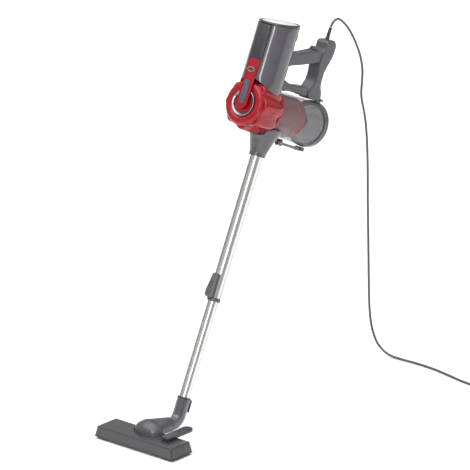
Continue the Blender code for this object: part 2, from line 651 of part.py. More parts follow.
# ---- hand unit: handle ---------------------------------------------------------------------

GRIP_OUTER = [                 # top block and grip, (R, W), clockwise from the front of the block
    (126, 322), (129, 342), (140, 346.2), (158, 346.2), (160, 330), (158, 304), (148, 276),
    (145, 250), (147, 228), (157, 206), (158, 188), (140, 181), (116, 184), (108, 196),
    (117, 216), (125, 236), (125, 254), (121, 274), (121, 300)]
BAND = [                       # rear band down the back of the grip, its outer side first
    (158, 346.0), (169, 341), (172, 322), (168, 300), (157, 268), (154.5, 248), (158, 224),
    (168, 206), (169, 188), (159.0, 187), (157.6, 206), (147.6, 228), (145.6, 250),
    (148.6, 276), (158.6, 304), (160.6, 330)]
UPPER_ARM = [(-30, 251), (28, 255), (62, 264), (90, 272), (108, 278), (120.6, 283), (120.6, 306),
             (108, 312.5), (88, 307), (60, 297), (28, 288), (-30, 285)]
LOWER_ARM = [(-30, 186.5), (40, 186.5), (80, 187), (107, 190), (107, 203), (102, 210),
             (90, 210.5), (66, 207), (34, 204), (-30, 206)]


def build_handle(unit):
    """Loop handle: top block and grip, rear band, two arms and the power switch."""
    grip = slab("handle_grip", GRIP_OUTER, 2 * HANDLE_HALF, "grey_gloss", unit, smooth=3,
                rounding=4.0)
    band = slab("handle_band", BAND, 2 * HANDLE_HALF - 8, "grey_gloss", unit, smooth=3,
                rounding=2.0)
    upper = slab("upper_arm", UPPER_ARM, 2 * ARM_HALF, "grey_gloss", unit, smooth=2, rounding=3.0)
    lower = slab("lower_arm", LOWER_ARM, 2 * ARM_HALF, "grey_gloss", unit, smooth=2, rounding=3.0)
    house = turned("arm_housing_room", disc(HOUSING_R + GAP, 100, 400), None, unit,
                   (0, HOUSING_AXIS, 0), steps=48)
    cup_room = round_room("handle_cup_room", CUP_R_BACK + 0.8, DRUM_BACK, 171.2, unit)
    grip_room = grown_grip("grip_room", unit)
    cut(upper, house, grip_room)
    cut(lower, house, round_room("arm_over_drum", CLEAR_R, -60, DRUM_BACK + 2, unit), cup_room,
        grip_room)
    at = (0, RELIEF_R, 0)
    cut(grip, cup_room, turned("relief_hole", disc(4.6, 331, 360), None, unit, at, steps=20),
        turned("relief_seat", disc(6.0, RELIEF_LOW - GAP, 370), None, unit, at, steps=20))
    cut(band, round_room("band_cup_room", CUP_R_BACK + 0.8, 100, 171.2, unit),
        grip_room)
    switch_at = (0, 99, 309)
    pocket = box("switch_pocket", (-7, 87, 303), (7, 111, 330), None, unit)
    cut(upper, pocket)
    rocker = arc((0, 0), 11.0, 20, 160, 8)
    slab("power_switch", rocker + [(-10.3, -2.5), (10.3, -2.5)], 12.4, "black_gloss", unit,
         switch_at, "RW", rounding=0.5)


def grown_grip(name, unit):
    """The grip's outline as a cutter, a clearance wider all round."""
    middle = Vector((140.0, 262.0))
    grown = [tuple(Vector(p) + (Vector(p) - middle).normalized() * GAP) for p in GRIP_OUTER]
    return slab(name, grown, 80.0, None, unit, smooth=3)


# ---- mains cord ---------------------------------------------------------------------------

CORD_ROUTE = [                 # from the strain relief to the coil, (X, Y from the head, Z)
    (0, 742.4, 955.7), (0, 749.2, 964.6), (0, 759.7, 970.0), (0, 771.5, 970.5),
    (0, 788.0, 960.5), (0, 808.0, 940.5), (0, 828.0, 914.0), (0, 845.0, 884.0), (0, 861.0, 850.0),
    (0, 870.0, 817.0), (0, 872.0, 794.0), (0, 870.0, 768.0), (0, 867.5, 743.0),
    (0, 870.5, 719.0), (0, 878.0, 692.0), (0, 887.0, 650.0), (0, 893.0, 590.0),
    (0, 896.0, 520.0), (0, 897.0, 440.0), (1, 898.0, 360.0), (2, 899.0, 280.0),
    (3, 900.0, 200.0), (5, 901.0, 130.0), (12, 903.0, 75.0), (30, 906.0, 32.0),
    (62, 910.0, 9.0), (105, 914.0, 3.8), (160, 917.0, 3.6), (220, 914.0, 3.6),
    (280, 904.0, 3.6), (335, 894.0, 3.6), (COIL_X - 9.0, 890.0, 3.6)]
TAIL_ROUTE = [                 # from the coil to the plug
    (COIL_X + 60.5, 944.0, 3.6), (COIL_X + 62.0, 962.0, 3.8), (COIL_X + 61.0, 980.0, 6.0),
    (COIL_X + 57.0, 1000.0, 11.0), (COIL_X + 50.0, 1021.0, 15.5)]


def smooth_route(points, spacing):
    """Points about spacing apart on a smooth curve through the route's own points."""
    points = [Vector(p) for p in points]
    ends = [2 * points[0] - points[1]] + points + [2 * points[-1] - points[-2]]
    path = []
    for a, b, c, d in zip(ends, ends[1:], ends[2:], ends[3:]):
        count = max(1, round((c - b).length / spacing))
        for i in range(count):
            t = i / count
            path.append(0.5 * ((2 * b) + (c - a) * t + (2 * a - 5 * b + 4 * c - d) * t ** 2
                               + (3 * b - a - 3 * c + d) * t ** 3))
    return path + [points[-1]]


def build_cord(head, unit):
    """Strain relief, the hanging lead, the coil on the floor, and the plug on the cord's tail."""
    relief = [(0, RELIEF_HIGH), (4.4, RELIEF_HIGH), (5.2, 352), (5.6, 350), (5.6, RELIEF_LOW),
              (4.2, RELIEF_LOW), (4.2, 332), (0, 332)]
    turned("strain_relief", relief, "rubber", unit, (0, RELIEF_R, 0), steps=16)
    pipe("cord_lead", smooth_route(CORD_ROUTE, 26.0), CORD_D / 2, "rubber", head, 2)
    turned("cord_coil", ring(COIL_IN, COIL_OUT, 0.3, COIL_HIGH, 3.0), "rubber", head,
           (COIL_X, COIL_Y, 0), steps=32)
    pipe("cord_tail", smooth_route(TAIL_ROUTE, 15.0), CORD_D / 2, "rubber", head, 2)
    build_plug(head)


def build_plug(head):
    """Round two-pin mains plug lying on its side."""
    end = Vector(TAIL_ROUTE[-1])
    along = (end - Vector(TAIL_ROUTE[-2])).normalized()
    heading = math.atan2(-along.x, along.y)
    turn = (-math.pi / 2, 0.0, heading)
    at = (end.x - 0.6 * math.sin(heading), end.y + 0.6 * math.cos(heading), 17.9)
    body = [(0, 0), (5, 0), (6, 12), (12, 24), (17.5, 31), (17.5, 41), (0, 41)]
    plug = turned("plug", body, "rubber", head, at, turn, 28)
    for side in (-1, 1):
        pin = turned(f"plug_pin_{side}", disc(2.4, 38, 60, 0.8), None, head, at, turn, 12)
        offset = Vector((9.5 * side * math.cos(heading), 9.5 * side * math.sin(heading), 0))
        pin.location = (Vector(at) + offset) * MM
        join(plug, pin)


def build_vacuum():
    """Model the whole machine."""
    head = frame_empty("head_frame", (0, HEAD_Y, 0))
    unit = frame_empty("unit_frame", (0, HEAD_Y + INLET_Y, INLET_Z), (-LEAN, 0, 0))
    bpy.context.view_layer.update()
    build_sole(head)
    build_head_cover(head)
    build_brushes(head)
    build_wheels(head)
    build_pedal(head)
    build_neck(head)
    build_elbow(head, unit)
    build_wand(unit)
    build_nozzle(unit)
    build_housing(unit)
    build_front(unit)
    build_drum(unit)
    build_motor(unit)
    build_cup(unit)
    build_door(unit)
    build_handle(unit)
    build_cord(head, unit)


build_vacuum()
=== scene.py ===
"""Corded stick vacuum cleaner: the finished look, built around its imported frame.

Sizes are in millimetres in the two frames that the machine was drawn in.  HEAD is the floor
head's frame (X, Y, Z from the middle of its footprint).  UNIT leans back with the wand: X is
sideways, R runs rearwards and W runs up along the wand.
"""
from __future__ import annotations

import json
import logging
import math
from collections.abc import Callable, Sequence
from dataclasses import dataclass
from enum import Enum

import bmesh
import bpy
from mathutils import Matrix, Vector


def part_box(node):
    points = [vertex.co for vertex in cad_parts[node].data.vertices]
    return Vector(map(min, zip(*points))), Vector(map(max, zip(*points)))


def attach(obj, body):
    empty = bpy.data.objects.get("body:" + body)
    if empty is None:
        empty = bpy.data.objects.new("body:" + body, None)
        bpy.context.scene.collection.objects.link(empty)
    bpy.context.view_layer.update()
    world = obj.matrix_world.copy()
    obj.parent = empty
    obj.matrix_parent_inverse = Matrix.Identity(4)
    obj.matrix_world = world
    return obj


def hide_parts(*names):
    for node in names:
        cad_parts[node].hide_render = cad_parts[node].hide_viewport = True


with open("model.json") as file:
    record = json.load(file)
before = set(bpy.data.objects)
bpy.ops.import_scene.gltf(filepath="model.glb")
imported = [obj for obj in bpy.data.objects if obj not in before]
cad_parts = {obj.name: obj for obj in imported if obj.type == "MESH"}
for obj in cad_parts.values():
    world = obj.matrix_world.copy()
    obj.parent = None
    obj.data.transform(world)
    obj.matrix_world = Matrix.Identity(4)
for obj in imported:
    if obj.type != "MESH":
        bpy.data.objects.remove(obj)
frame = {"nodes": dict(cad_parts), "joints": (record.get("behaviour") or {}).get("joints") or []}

LOG = logging.getLogger("stick_vacuum")
MM = 0.001
JOINTS = {joint["name"]: joint for joint in frame["joints"]}
WAND_AXIS = Vector(JOINTS["wand_telescope"]["axis"])
LEAN = math.atan2(WAND_AXIS.y, WAND_AXIS.z)
HOUSING_R, MOTOR_W = -69.0, 250.0      # where the motor's axis joint stands in UNIT
SOLE_LOW, SOLE_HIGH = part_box("head_sole")

UNIT = (Matrix.Translation(JOINTS["motor_spin"]["pos_m"]) @ Matrix.Rotation(-LEAN, 4, "X")
        @ Matrix.Scale(MM, 4) @ Matrix.Translation((0.0, -HOUSING_R, -MOTOR_W)))
HEAD = Matrix.Translation((0.0, (SOLE_LOW.y + SOLE_HIGH.y) / 2, 0.0)) @ Matrix.Scale(MM, 4)

Profile = Sequence[tuple[float, float]]
Values = dict[str, object]


class Axis(Enum):
    """The direction that a turned shape's height runs in, as a turn from Z."""

    W = Matrix.Identity(4)
    R = Matrix.Rotation(-math.pi / 2, 4, "X")
    X = Matrix.Rotation(math.pi / 2, 4, "Y")


class Plane(Enum):
    """The plane of an outline, as the turn that takes its thickness from Z."""

    XY = Matrix.Identity(4)
    XW = Matrix.Rotation(math.pi / 2, 4, "X")
    RW = Matrix.Rotation(math.pi / 2, 4, "Z") @ Matrix.Rotation(math.pi / 2, 4, "X")


# ---- materials ----------------------------------------------------------------------------

def linear(code: str) -> tuple[float, float, float, float]:
    """Turn an sRGB hex colour into the linear colour that Blender uses.

    Args:
        code: colour such as "#A2A0A3".

    Returns:
        Red, green, blue and alpha.
    """
    parts = [int(code[i:i + 2], 16) / 255 for i in (1, 3, 5)]
    red, green, blue = (c / 12.92 if c <= 0.04045 else ((c + 0.055) / 1.055) ** 2.4
                        for c in parts)
    return red, green, blue, 1.0


def add_node(tree: bpy.types.NodeTree, kind: str, settings: Values | None = None,
             inputs: dict[str | int, object] | None = None) -> bpy.types.Node:
    """Add a node, set it up and link it.

    Args:
        tree: the node tree that gets the node.
        kind: Blender's type name of the node.
        settings: values of the node's own properties.
        inputs: for an input's name or index, a value or the output socket that feeds it.

    Returns:
        The new node.
    """
    node = tree.nodes.new(kind)
    for key, value in (settings or {}).items():
        setattr(node, key, value)
    for key, value in (inputs or {}).items():
        if isinstance(value, bpy.types.NodeSocket):
            tree.links.new(value, node.inputs[key])
        else:
            node.inputs[key].default_value = value
    return node


def per_metre(size_mm: float) -> float:
    """Return the texture scale that gives a pattern of this size."""
    return 1.0 / (size_mm * MM)


@dataclass(frozen=True)
class Finish:
    """A material and the record's slot that it belongs to."""

    name: str
    slot: str
    colour: str
    roughness: float

    def dress(self, tree: bpy.types.NodeTree, shader: bpy.types.Node) -> None:
        """Set the shader up; each kind of finish adds its own pattern.

        Args:
            tree: the material's node tree.
            shader: the Principled node.
        """
        shader.inputs["Base Color"].default_value = linear(self.colour)
        shader.inputs["Roughness"].default_value = self.roughness

    def material(self) -> bpy.types.Material:
        """Return the finish's material, made once."""
        if self.name in bpy.data.materials:
            return bpy.data.materials[self.name]
        material = bpy.data.materials.new(self.name)
        material.use_nodes = True
        self.dress(material.node_tree, material.node_tree.nodes["Principled BSDF"])
        return material

    def mottle(self, tree: bpy.types.NodeTree, shader: bpy.types.Node, other: str,
               size: float, detail: float = 3.0) -> bpy.types.Node:
        """Vary the base colour softly between the finish's colour and another.

        Args:
            tree: the material's node tree.
            shader: the Principled node.
            other: second colour, as a hex code.
            size: size of the patches in millimetres.
            detail: how many finer layers the noise has.

        Returns:
            The noise node, to drive more of the pattern.
        """
        place = add_node(tree, "ShaderNodeTexCoord")
        noise = add_node(tree, "ShaderNodeTexNoise", None, {
            "Vector": place.outputs["Object"], "Scale": per_metre(size), "Detail": detail})
        mix = add_node(tree, "ShaderNodeMix", {"data_type": "RGBA"}, {
            0: noise.outputs[0], 6: linear(self.colour), 7: linear(other)})
        tree.links.new(mix.outputs[2], shader.inputs["Base Color"])
        return noise

    def grain(self, tree: bpy.types.NodeTree, shader: bpy.types.Node, size: float,
              depth: float, strength: float, stretch: float = 1.0) -> None:
        """Give the surface a fine relief.

        Args:
            tree: the material's node tree.
            shader: the Principled node.
            size: size of one grain in millimetres.
            depth: height of the relief in millimetres.
            strength: how much of the relief shows.
            stretch: how much longer a grain is along the wand than across it.
        """
        place = add_node(tree, "ShaderNodeTexCoord")
        turn = add_node(tree, "ShaderNodeMapping", {"vector_type": "TEXTURE"}, {
            "Vector": place.outputs["Object"], "Rotation": (-LEAN, 0.0, 0.0),
            "Scale": (1.0, 1.0, stretch)})
        noise = add_node(tree, "ShaderNodeTexNoise", None, {
            "Vector": turn.outputs[0], "Scale": per_metre(size), "Detail": 2.0})
        bump = add_node(tree, "ShaderNodeBump", None, {
            "Height": noise.outputs[0], "Distance": depth * MM, "Strength": strength})
        tree.links.new(bump.outputs[0], shader.inputs["Normal"])


@dataclass(frozen=True)
class MouldedPlastic(Finish):
    """Injection-moulded ABS, polished or spark-eroded in the mould."""

    shade: str = "#303030"             # the colour that it drifts to
    patch: float = 45.0
    grain_size: float = 1.2
    grain_depth: float = 0.02
    coat: float = 0.0
    smear: float = 0.08                # how far handling changes the roughness
    shine: float = 0.5                 # strength of its reflections, 0.5 for clean plastic

    def dress(self, tree: bpy.types.NodeTree, shader: bpy.types.Node) -> None:
        """Give slow colour drift, uneven gloss and a fine relief.

        Args:
            tree: the material's node tree.
            shader: the Principled node.
        """
        noise = self.mottle(tree, shader, self.shade, self.patch)
        gloss = add_node(tree, "ShaderNodeMapRange", None, {
            "Value": noise.outputs[0], "From Min": 0.3, "From Max": 0.7,
            "To Min": max(0.03, self.roughness - self.smear),
            "To Max": self.roughness + self.smear})
        tree.links.new(gloss.outputs[0], shader.inputs["Roughness"])
        shader.inputs["IOR"].default_value = 1.53
        shader.inputs["Specular IOR Level"].default_value = self.shine
        shader.inputs["Coat Weight"].default_value = self.coat
        shader.inputs["Coat Roughness"].default_value = 0.06
        self.grain(tree, shader, self.grain_size, self.grain_depth, 0.6)


@dataclass(frozen=True)
class Metal(Finish):
    """Plated or bare steel, with the faint lines that drawing leaves along it and a painted dark
    reflection along its outline.
    """

    drift: str = "#D9D9D7"             # the colour that it drifts to
    line: float = 0.5
    stretch: float = 800.0
    relief: float = 0.002
    # painted reflection: this edge tint darkens the metal's outline grey, as if it mirrored dark
    # surroundings
    rim: str = "#5C5C60"               # what its outline darkens to

    def dress(self, tree: bpy.types.NodeTree, shader: bpy.types.Node) -> None:
        """Set the metal's colour, its outline darkened by a painted reflection, and its draw
        lines.

        Args:
            tree: the material's node tree.
            shader: the Principled node.
        """
        super().dress(tree, shader)
        shader.inputs["Metallic"].default_value = 1.0
        # painted reflection: a dark grey tint at grazing angles darkens the metal's outline
        shader.inputs["Specular Tint"].default_value = linear(self.rim)
        self.mottle(tree, shader, self.drift, 70.0)
        self.grain(tree, shader, self.line, self.relief, 0.5, self.stretch)


@dataclass(frozen=True)
class ClearPlastic(Finish):
    """Transparent polystyrene or SAN, seen through more in the middle than at its edges."""

    drift: str = "#858789"             # the tint that it drifts to
    through: float = 0.3               # how solid it looks face on
    edge: float = 0.85                 # how solid it looks at a grazing angle

    def dress(self, tree: bpy.types.NodeTree, shader: bpy.types.Node) -> None:
        """Make it clear face on and milky along its outline.

        Args:
            tree: the material's node tree.
            shader: the Principled node.
        """
        super().dress(tree, shader)
        shader.inputs["IOR"].default_value = 1.57
        shader.inputs["Coat Weight"].default_value = 0.1
        shader.inputs["Specular IOR Level"].default_value = 0.3
        self.mottle(tree, shader, self.drift, 60.0)
        facing = add_node(tree, "ShaderNodeLayerWeight", None, {"Blend": 0.35})
        clear = add_node(tree, "ShaderNodeMapRange", None, {
            "Value": facing.outputs["Facing"], "To Min": self.through, "To Max": self.edge})
        tree.links.new(clear.outputs[0], shader.inputs["Alpha"])
        self.grain(tree, shader, 6.0, 0.02, 0.3)


@dataclass(frozen=True)
class Fibre(Finish):
    """Pleated filter paper, foam or nylon bristle: no gloss and a coarse relief."""

    other: str = "#C4BFB2"
    size: float = 2.0
    depth: float = 0.15

    def dress(self, tree: bpy.types.NodeTree, shader: bpy.types.Node) -> None:
        """Give patchy colour, a soft sheen and a fibrous relief.

        Args:
            tree: the material's node tree.
            shader: the Principled node.
        """
        super().dress(tree, shader)
        shader.inputs["Sheen Weight"].default_value = 0.3
        self.mottle(tree, shader, self.other, self.size * 4)
        self.grain(tree, shader, self.size, self.depth, 0.8)


# Polished charcoal ABS of the housing: a warm mid grey with one sharp window of light
GREY_GLOSS = MouldedPlastic("polished_charcoal_abs", "grey_gloss", "#545258", 0.15, "#4A484E",
                            coat=0.20, smear=0.04, grain_size=2.5, grain_depth=0.012)
# The same ABS from a finer-etched mould, for the handle: softer, wider highlights
HANDLE_GREY = MouldedPlastic("satin_charcoal_abs", "grey_gloss", "#48464C", 0.34, "#3F3D43",
                             coat=0.05, grain_size=0.9, grain_depth=0.02)
# Polished near-black ABS of the rims, panel and floor head: darkest, with thin bright edges
BLACK_GLOSS = MouldedPlastic("polished_graphite_abs", "black_gloss", "#39373C", 0.25, "#323035",
                             coat=0.08, grain_size=2.0, grain_depth=0.015)
# The same ABS polished hardest, for the elbow: one thin white line of light down it
ELBOW_GLOSS = MouldedPlastic("polished_elbow_abs", "grey_gloss", "#504E54", 0.10, "#48464C",
                             coat=0.6, grain_size=6.0, grain_depth=0.004, smear=0.03)
# Spark-eroded ABS of the hidden-side parts: dull and slightly sandy
GREY_MATTE = MouldedPlastic("etched_grey_abs", "grey_matte", "#454449", 0.55, "#3B3A3F",
                            grain_size=0.8, grain_depth=0.06)
# Metallic-red lacquered ABS of the drum: a deep red with a clear coat and hot highlights
RED_GLOSS = MouldedPlastic("lacquered_red_abs", "red_gloss", "#98101D", 0.15, "#840B16",
                           coat=0.08, grain_size=1.6, grain_depth=0.012, smear=0.04,
                           shine=0.35)
# Self-coloured darker red ABS inside the cup: the same red without the lacquer
RED_DARK = MouldedPlastic("moulded_crimson_abs", "red_dark", "#9E1826", 0.34, "#86111D")
# Red cyclone screen, its colour washed to a grey mauve as a painted reflection of the whitish
# light on the clear cup wall in front of it; the band beside it keeps its clean red
MAUVE = MouldedPlastic("cyclone_abs_painted_film", "red_dark", "#75484D", 0.45, "#633C41")
# Silver-painted ABS cap: pale, almost white, with a faint metallic flake
SILVER = MouldedPlastic("silver_painted_abs", "silver", "#DCDCDE", 0.26, "#CFCFD2",
                        coat=0.5, grain_size=0.7, grain_depth=0.01)
# Blue-grey window inlay in the tongue: glassy, colder than the plastic round it
SLATE = MouldedPlastic("slate_window_pmma", "slate", "#4A515D", 0.14, "#414854", coat=0.4,
                       grain_size=4.0, grain_depth=0.01)
# Chromed steel tube: nearly white, with soft grey lines along its two edges that are a painted
# reflection from the dark edge tint
CHROME = Metal("chromed_steel_tube", "chrome", "#E0DFDD", 0.22, "#D8D7D5")
# Chromed ring of the drum, its colour darkened to a dull grey mirror, darker than the tube, as a
# painted reflection of dark surroundings
RING_CHROME_PAINTED_GREY = Metal("chrome_ring_painted_grey", "chrome", "#8F8E93", 0.24, "#85848A")
# Plain zinc-plated steel of pins and axles: duller and bluer than the chrome
STEEL = Metal("zinc_plated_steel", "steel", "#B9BABD", 0.34, "#ABACB0", line=0.4, relief=0.01)
# Die-cast and laminated motor body: dull warm metal
MOTOR_METAL = Metal("laminated_motor_steel", "motor_metal", "#A8A29A", 0.45, "#98928A", 1.0,
                    stretch=0.05, relief=0.05)
# Clear SAN of the dust cup: whitish film of light over what is inside
CLEAR = ClearPlastic("clear_cup_san", "clear", "#7E8083", 0.07, through=0.07, edge=0.45)
# Smoke-tinted rear door of the cup: darker and less clear than the cup's wall
SMOKE = ClearPlastic("smoke_door_san", "clear", "#55575A", 0.09, "#4C4E51", 0.6, 0.95)
# Round PVC-jacketed mains flex: dark, soft gloss, slightly uneven
PVC = MouldedPlastic("pvc_cord_jacket", "rubber", "#4A494D", 0.42, "#434246", patch=60.0,
                     grain_size=1.5, grain_depth=0.03)
# Vulcanised rubber and TPE of wheels, seals and bumpers: matte black with a dusty bloom
RUBBER = MouldedPlastic("black_tpe_rubber", "rubber", "#2C2B2D", 0.66, "#38373A", patch=12.0,
                        grain_size=0.7, grain_depth=0.08)
# Nylon bristles: thin, dark, faintly shiny hairs
BRISTLE = Fibre("nylon_bristle", "rubber", "#3A393B", 0.45, "#242325", 0.6, 0.05)
# Pleated glass-fibre filter paper: off-white and quite dull
FILTER = Fibre("filter_paper", "filter_white", "#E4E1D8", 0.88)
# Brass of the plug's two pins: yellow metal under nickel
PIN_METAL = Metal("nickelled_brass_pin", "steel", "#CFC9B8", 0.22, "#C2BAA4", 0.8, relief=0.004)

SLOT_FINISH: dict[str, Finish] = {
    "black_gloss": BLACK_GLOSS, "grey_gloss": GREY_GLOSS, "grey_matte": GREY_MATTE,
    "red_gloss": RED_GLOSS, "red_dark": RED_DARK, "silver": SILVER, "chrome": CHROME,
    "steel": STEEL, "slate": SLATE, "clear": CLEAR, "rubber": RUBBER, "filter_white": FILTER,
    "motor_metal": MOTOR_METAL,
}


# ---- shapes -------------------------------------------------------------------------------

def smooth(mesh: bpy.types.Mesh, angle: float) -> bpy.types.Mesh:
    """Shade a mesh smooth, with its edges over angle degrees kept sharp.

    Args:
        mesh: the mesh.
        angle: smallest angle of a sharp edge, in degrees.

    Returns:
        The same mesh.
    """
    mesh.shade_smooth()
    mesh.set_sharp_from_angle(angle=math.radians(angle))
    return mesh


def closed(bm: bmesh.types.BMesh, name: str) -> bpy.types.Mesh:
    """Merge doubles, turn the faces outwards and return the mesh.

    Args:
        bm: the shape, which is freed.
        name: name of the new mesh.

    Returns:
        The mesh.
    """
    bmesh.ops.remove_doubles(bm, verts=bm.verts, dist=0.001)
    bmesh.ops.recalc_face_normals(bm, faces=bm.faces)
    mesh = bpy.data.meshes.new(name)
    bm.to_mesh(mesh)
    bm.free()
    return mesh


def put(name: str, mesh: bpy.types.Mesh, finish: Finish, body: str, place: Matrix,
        replaces: Sequence[str] = (), angle: float = 38.0) -> bpy.types.Object:
    """Place a finished mesh in the scene as a piece.

    Args:
        name: the piece's name.
        mesh: its mesh, in millimetres of its own frame.
        finish: its finish.
        body: the CAD body that it rides on.
        place: matrix from its own frame to the world.
        replaces: CAD nodes that it stands for.
        angle: smallest angle of a sharp edge, in degrees.

    Returns:
        The piece.
    """
    mesh.transform(place)
    mesh.materials.clear()
    mesh.materials.append(finish.material())
    smooth(mesh, angle)
    piece = bpy.data.objects.new(name, mesh)
    bpy.context.scene.collection.objects.link(piece)
    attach(piece, body)
    if replaces:
        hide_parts(*replaces)
    LOG.info("%s: %d faces on %s", name, len(mesh.polygons), body)
    return piece


def rounded(profile: Profile, radius: float, steps: int = 4) -> list[tuple[float, float]]:
    """Round the inner corners of an open line of points.

    Args:
        profile: the points.
        radius: radius of each corner, less where its sides are short.
        steps: points along a corner.

    Returns:
        The rounded line.
    """
    line = [Vector(point) for point in profile]
    out = [line[0]]
    for before, corner, after in zip(line, line[1:], line[2:]):
        back, ahead = before - corner, after - corner
        reach = min(radius, back.length * 0.45, ahead.length * 0.45)
        start, end = corner + back.normalized() * reach, corner + ahead.normalized() * reach
        for i in range(steps + 1):
            t = i / steps
            out.append((1 - t) ** 2 * start + 2 * t * (1 - t) * corner + t * t * end)
    out.append(line[-1])
    return [(point.x, point.y) for point in out]


def lathe(name: str, profile: Profile, axis: Axis = Axis.W,
          at: tuple[float, float, float] = (0.0, 0.0, 0.0), steps: int = 96) -> bpy.types.Mesh:
    """Turn a profile about an axis.

    Args:
        name: name of the mesh.
        profile: (radius, height) points; one that ends off the axis closes on itself.
        axis: direction of the height.
        at: a point on the axis.
        steps: faces round it.

    Returns:
        The closed mesh.
    """
    points = list(profile)
    if points[0][0] > 0 and points[-1][0] > 0:
        points.append(points[0])
    bm = bmesh.new()
    verts = [bm.verts.new((radius, 0.0, height)) for radius, height in points]
    edges = [bm.edges.new(pair) for pair in zip(verts, verts[1:])]
    bmesh.ops.spin(bm, geom=verts + edges, cent=(0, 0, 0), axis=(0, 0, 1), dvec=(0, 0, 0),
                   angle=math.tau, steps=steps, use_merge=True, use_duplicate=False)
    mesh = closed(bm, name)
    mesh.transform(Matrix.Translation(at) @ axis.value)
    return mesh


def evaluated(mesh: bpy.types.Mesh, *settings: tuple[str, Values]) -> bpy.types.Mesh:
    """Run a mesh through modifiers and return the result.

    Args:
        mesh: the starting mesh, which is removed.
        settings: type and property values of each modifier, in order.

    Returns:
        The new mesh.
    """
    holder = bpy.data.objects.new(mesh.name, mesh)
    bpy.context.scene.collection.objects.link(holder)
    for kind, values in settings:
        modifier = holder.modifiers.new(kind.lower(), kind)
        for key, value in values.items():
            setattr(modifier, key, value)
    return taken(holder)


def taken(holder: bpy.types.Object) -> bpy.types.Mesh:
    """Return an object's evaluated mesh and remove the object.

    Args:
        holder: the object, in the scene.

    Returns:
        The mesh with its modifiers applied.
    """
    bpy.context.view_layer.update()
    graph = bpy.context.evaluated_depsgraph_get()
    result = bpy.data.meshes.new_from_object(holder.evaluated_get(graph))
    result.name = holder.name
    bpy.data.objects.remove(holder, do_unlink=True)
    return result


def slab(name: str, outline: Profile, half: float, plane: Plane,
         at: tuple[float, float, float] = (0.0, 0.0, 0.0), curved: int = 0,
         rounding: float = 0.0, segments: int = 3) -> bpy.types.Mesh:
    """Thicken a flat outline both ways.

    Args:
        name: name of the mesh.
        outline: corners of the outline.
        half: half of the thickness.
        plane: plane of the outline.
        at: where the outline's origin lies.
        curved: spans per side where the outline is a smooth curve, or 0 for straight sides.
        rounding: width of the rounded edges.
        segments: facets across a rounded edge.

    Returns:
        The closed mesh.
    """
    curve = bpy.data.curves.new(name, "CURVE")
    curve.dimensions = "2D"
    curve.fill_mode = "BOTH"
    curve.extrude = half
    curve.resolution_u = max(curved, 1)
    spline = curve.splines.new("BEZIER" if curved else "POLY")
    knots = spline.bezier_points if curved else spline.points
    knots.add(len(outline) - 1)
    for knot, (u, v) in zip(knots, outline):
        knot.co = (u, v, 0.0) if curved else (u, v, 0.0, 1.0)
        if curved:
            knot.handle_left_type = knot.handle_right_type = "AUTO"
    spline.use_cyclic_u = True
    holder = bpy.data.objects.new(name, curve)
    bpy.context.scene.collection.objects.link(holder)
    mesh = taken(holder)
    bm = bmesh.new()
    bm.from_mesh(mesh)
    bmesh.ops.remove_doubles(bm, verts=bm.verts, dist=0.01)
    bmesh.ops.dissolve_limit(bm, angle_limit=math.radians(1), verts=bm.verts, edges=bm.edges)
    mesh = closed(bm, name)
    if rounding:
        mesh = evaluated(mesh, ("BEVEL", {
            "width": rounding, "segments": segments, "limit_method": "ANGLE",
            "angle_limit": math.radians(50)}))
    mesh.transform(Matrix.Translation(at) @ plane.value)
    return mesh


def moulded(mesh: bpy.types.Mesh, voxel: float, passes: int) -> bpy.types.Mesh:
    """Soften a shape all over, as a well-rounded moulding is.

    Args:
        mesh: the shape, which is removed.
        voxel: size of the new faces.
        passes: how often they are smoothed.

    Returns:
        The softened mesh.
    """
    return evaluated(mesh, ("REMESH", {"mode": "VOXEL", "voxel_size": voxel,
                                       "use_smooth_shade": True}),
                     ("SMOOTH", {"factor": 0.5, "iterations": passes}))


def block(name: str, low: Sequence[float], high: Sequence[float], rounding: float,
          segments: int = 2) -> bpy.types.Mesh:
    """Make a block with rounded edges between two corners.

    Args:
        name: name of the mesh.
        low: lowest corner.
        high: highest corner.
        rounding: width of the rounded edges.
        segments: facets across a rounded edge.

    Returns:
        The closed mesh.
    """
    bm = bmesh.new()
    bmesh.ops.create_cube(bm, size=1.0)
    size = [b - a for a, b in zip(low, high)]
    bmesh.ops.scale(bm, vec=size, verts=bm.verts)
    bmesh.ops.bevel(bm, geom=bm.edges[:], offset=rounding, segments=segments, affect="EDGES",
                    profile=0.5)
    bmesh.ops.translate(bm, vec=[(a + b) / 2 for a, b in zip(low, high)], verts=bm.verts)
    return closed(bm, name)


def tube(name: str, points: Sequence[Sequence[float]], radius: float, around: bool = False,
         sides: int = 10) -> bpy.types.Mesh:
    """Run a round bar along a line of points.

    Args:
        name: name of the mesh.
        points: the line.
        radius: radius of the bar.
        around: whether the line closes on itself.
        sides: faces round the bar.

    Returns:
        The closed mesh.
    """
    line = [Vector(point) for point in points]
    count = len(line)
    bm = bmesh.new()
    rings = []
    side = None
    for i, point in enumerate(line):
        ahead = line[(i + 1) % count] if around or i + 1 < count else point
        back = line[i - 1] if around or i else point
        along = (ahead - back).normalized()
        if side is None:
            side = along.orthogonal().normalized()
        side = (side - along * side.dot(along)).normalized()
        up = along.cross(side)
        rings.append([bm.verts.new(point + radius * (math.cos(a) * side + math.sin(a) * up))
                      for a in (math.tau * k / sides for k in range(sides))])
    pairs = list(zip(rings, rings[1:])) + ([(rings[-1], rings[0])] if around else [])
    for near, far in pairs:
        for k in range(sides):
            bm.faces.new((near[k], near[(k + 1) % sides], far[(k + 1) % sides], far[k]))
    if not around:
        bm.faces.new(rings[0])
        bm.faces.new(rings[-1])
    return closed(bm, name)


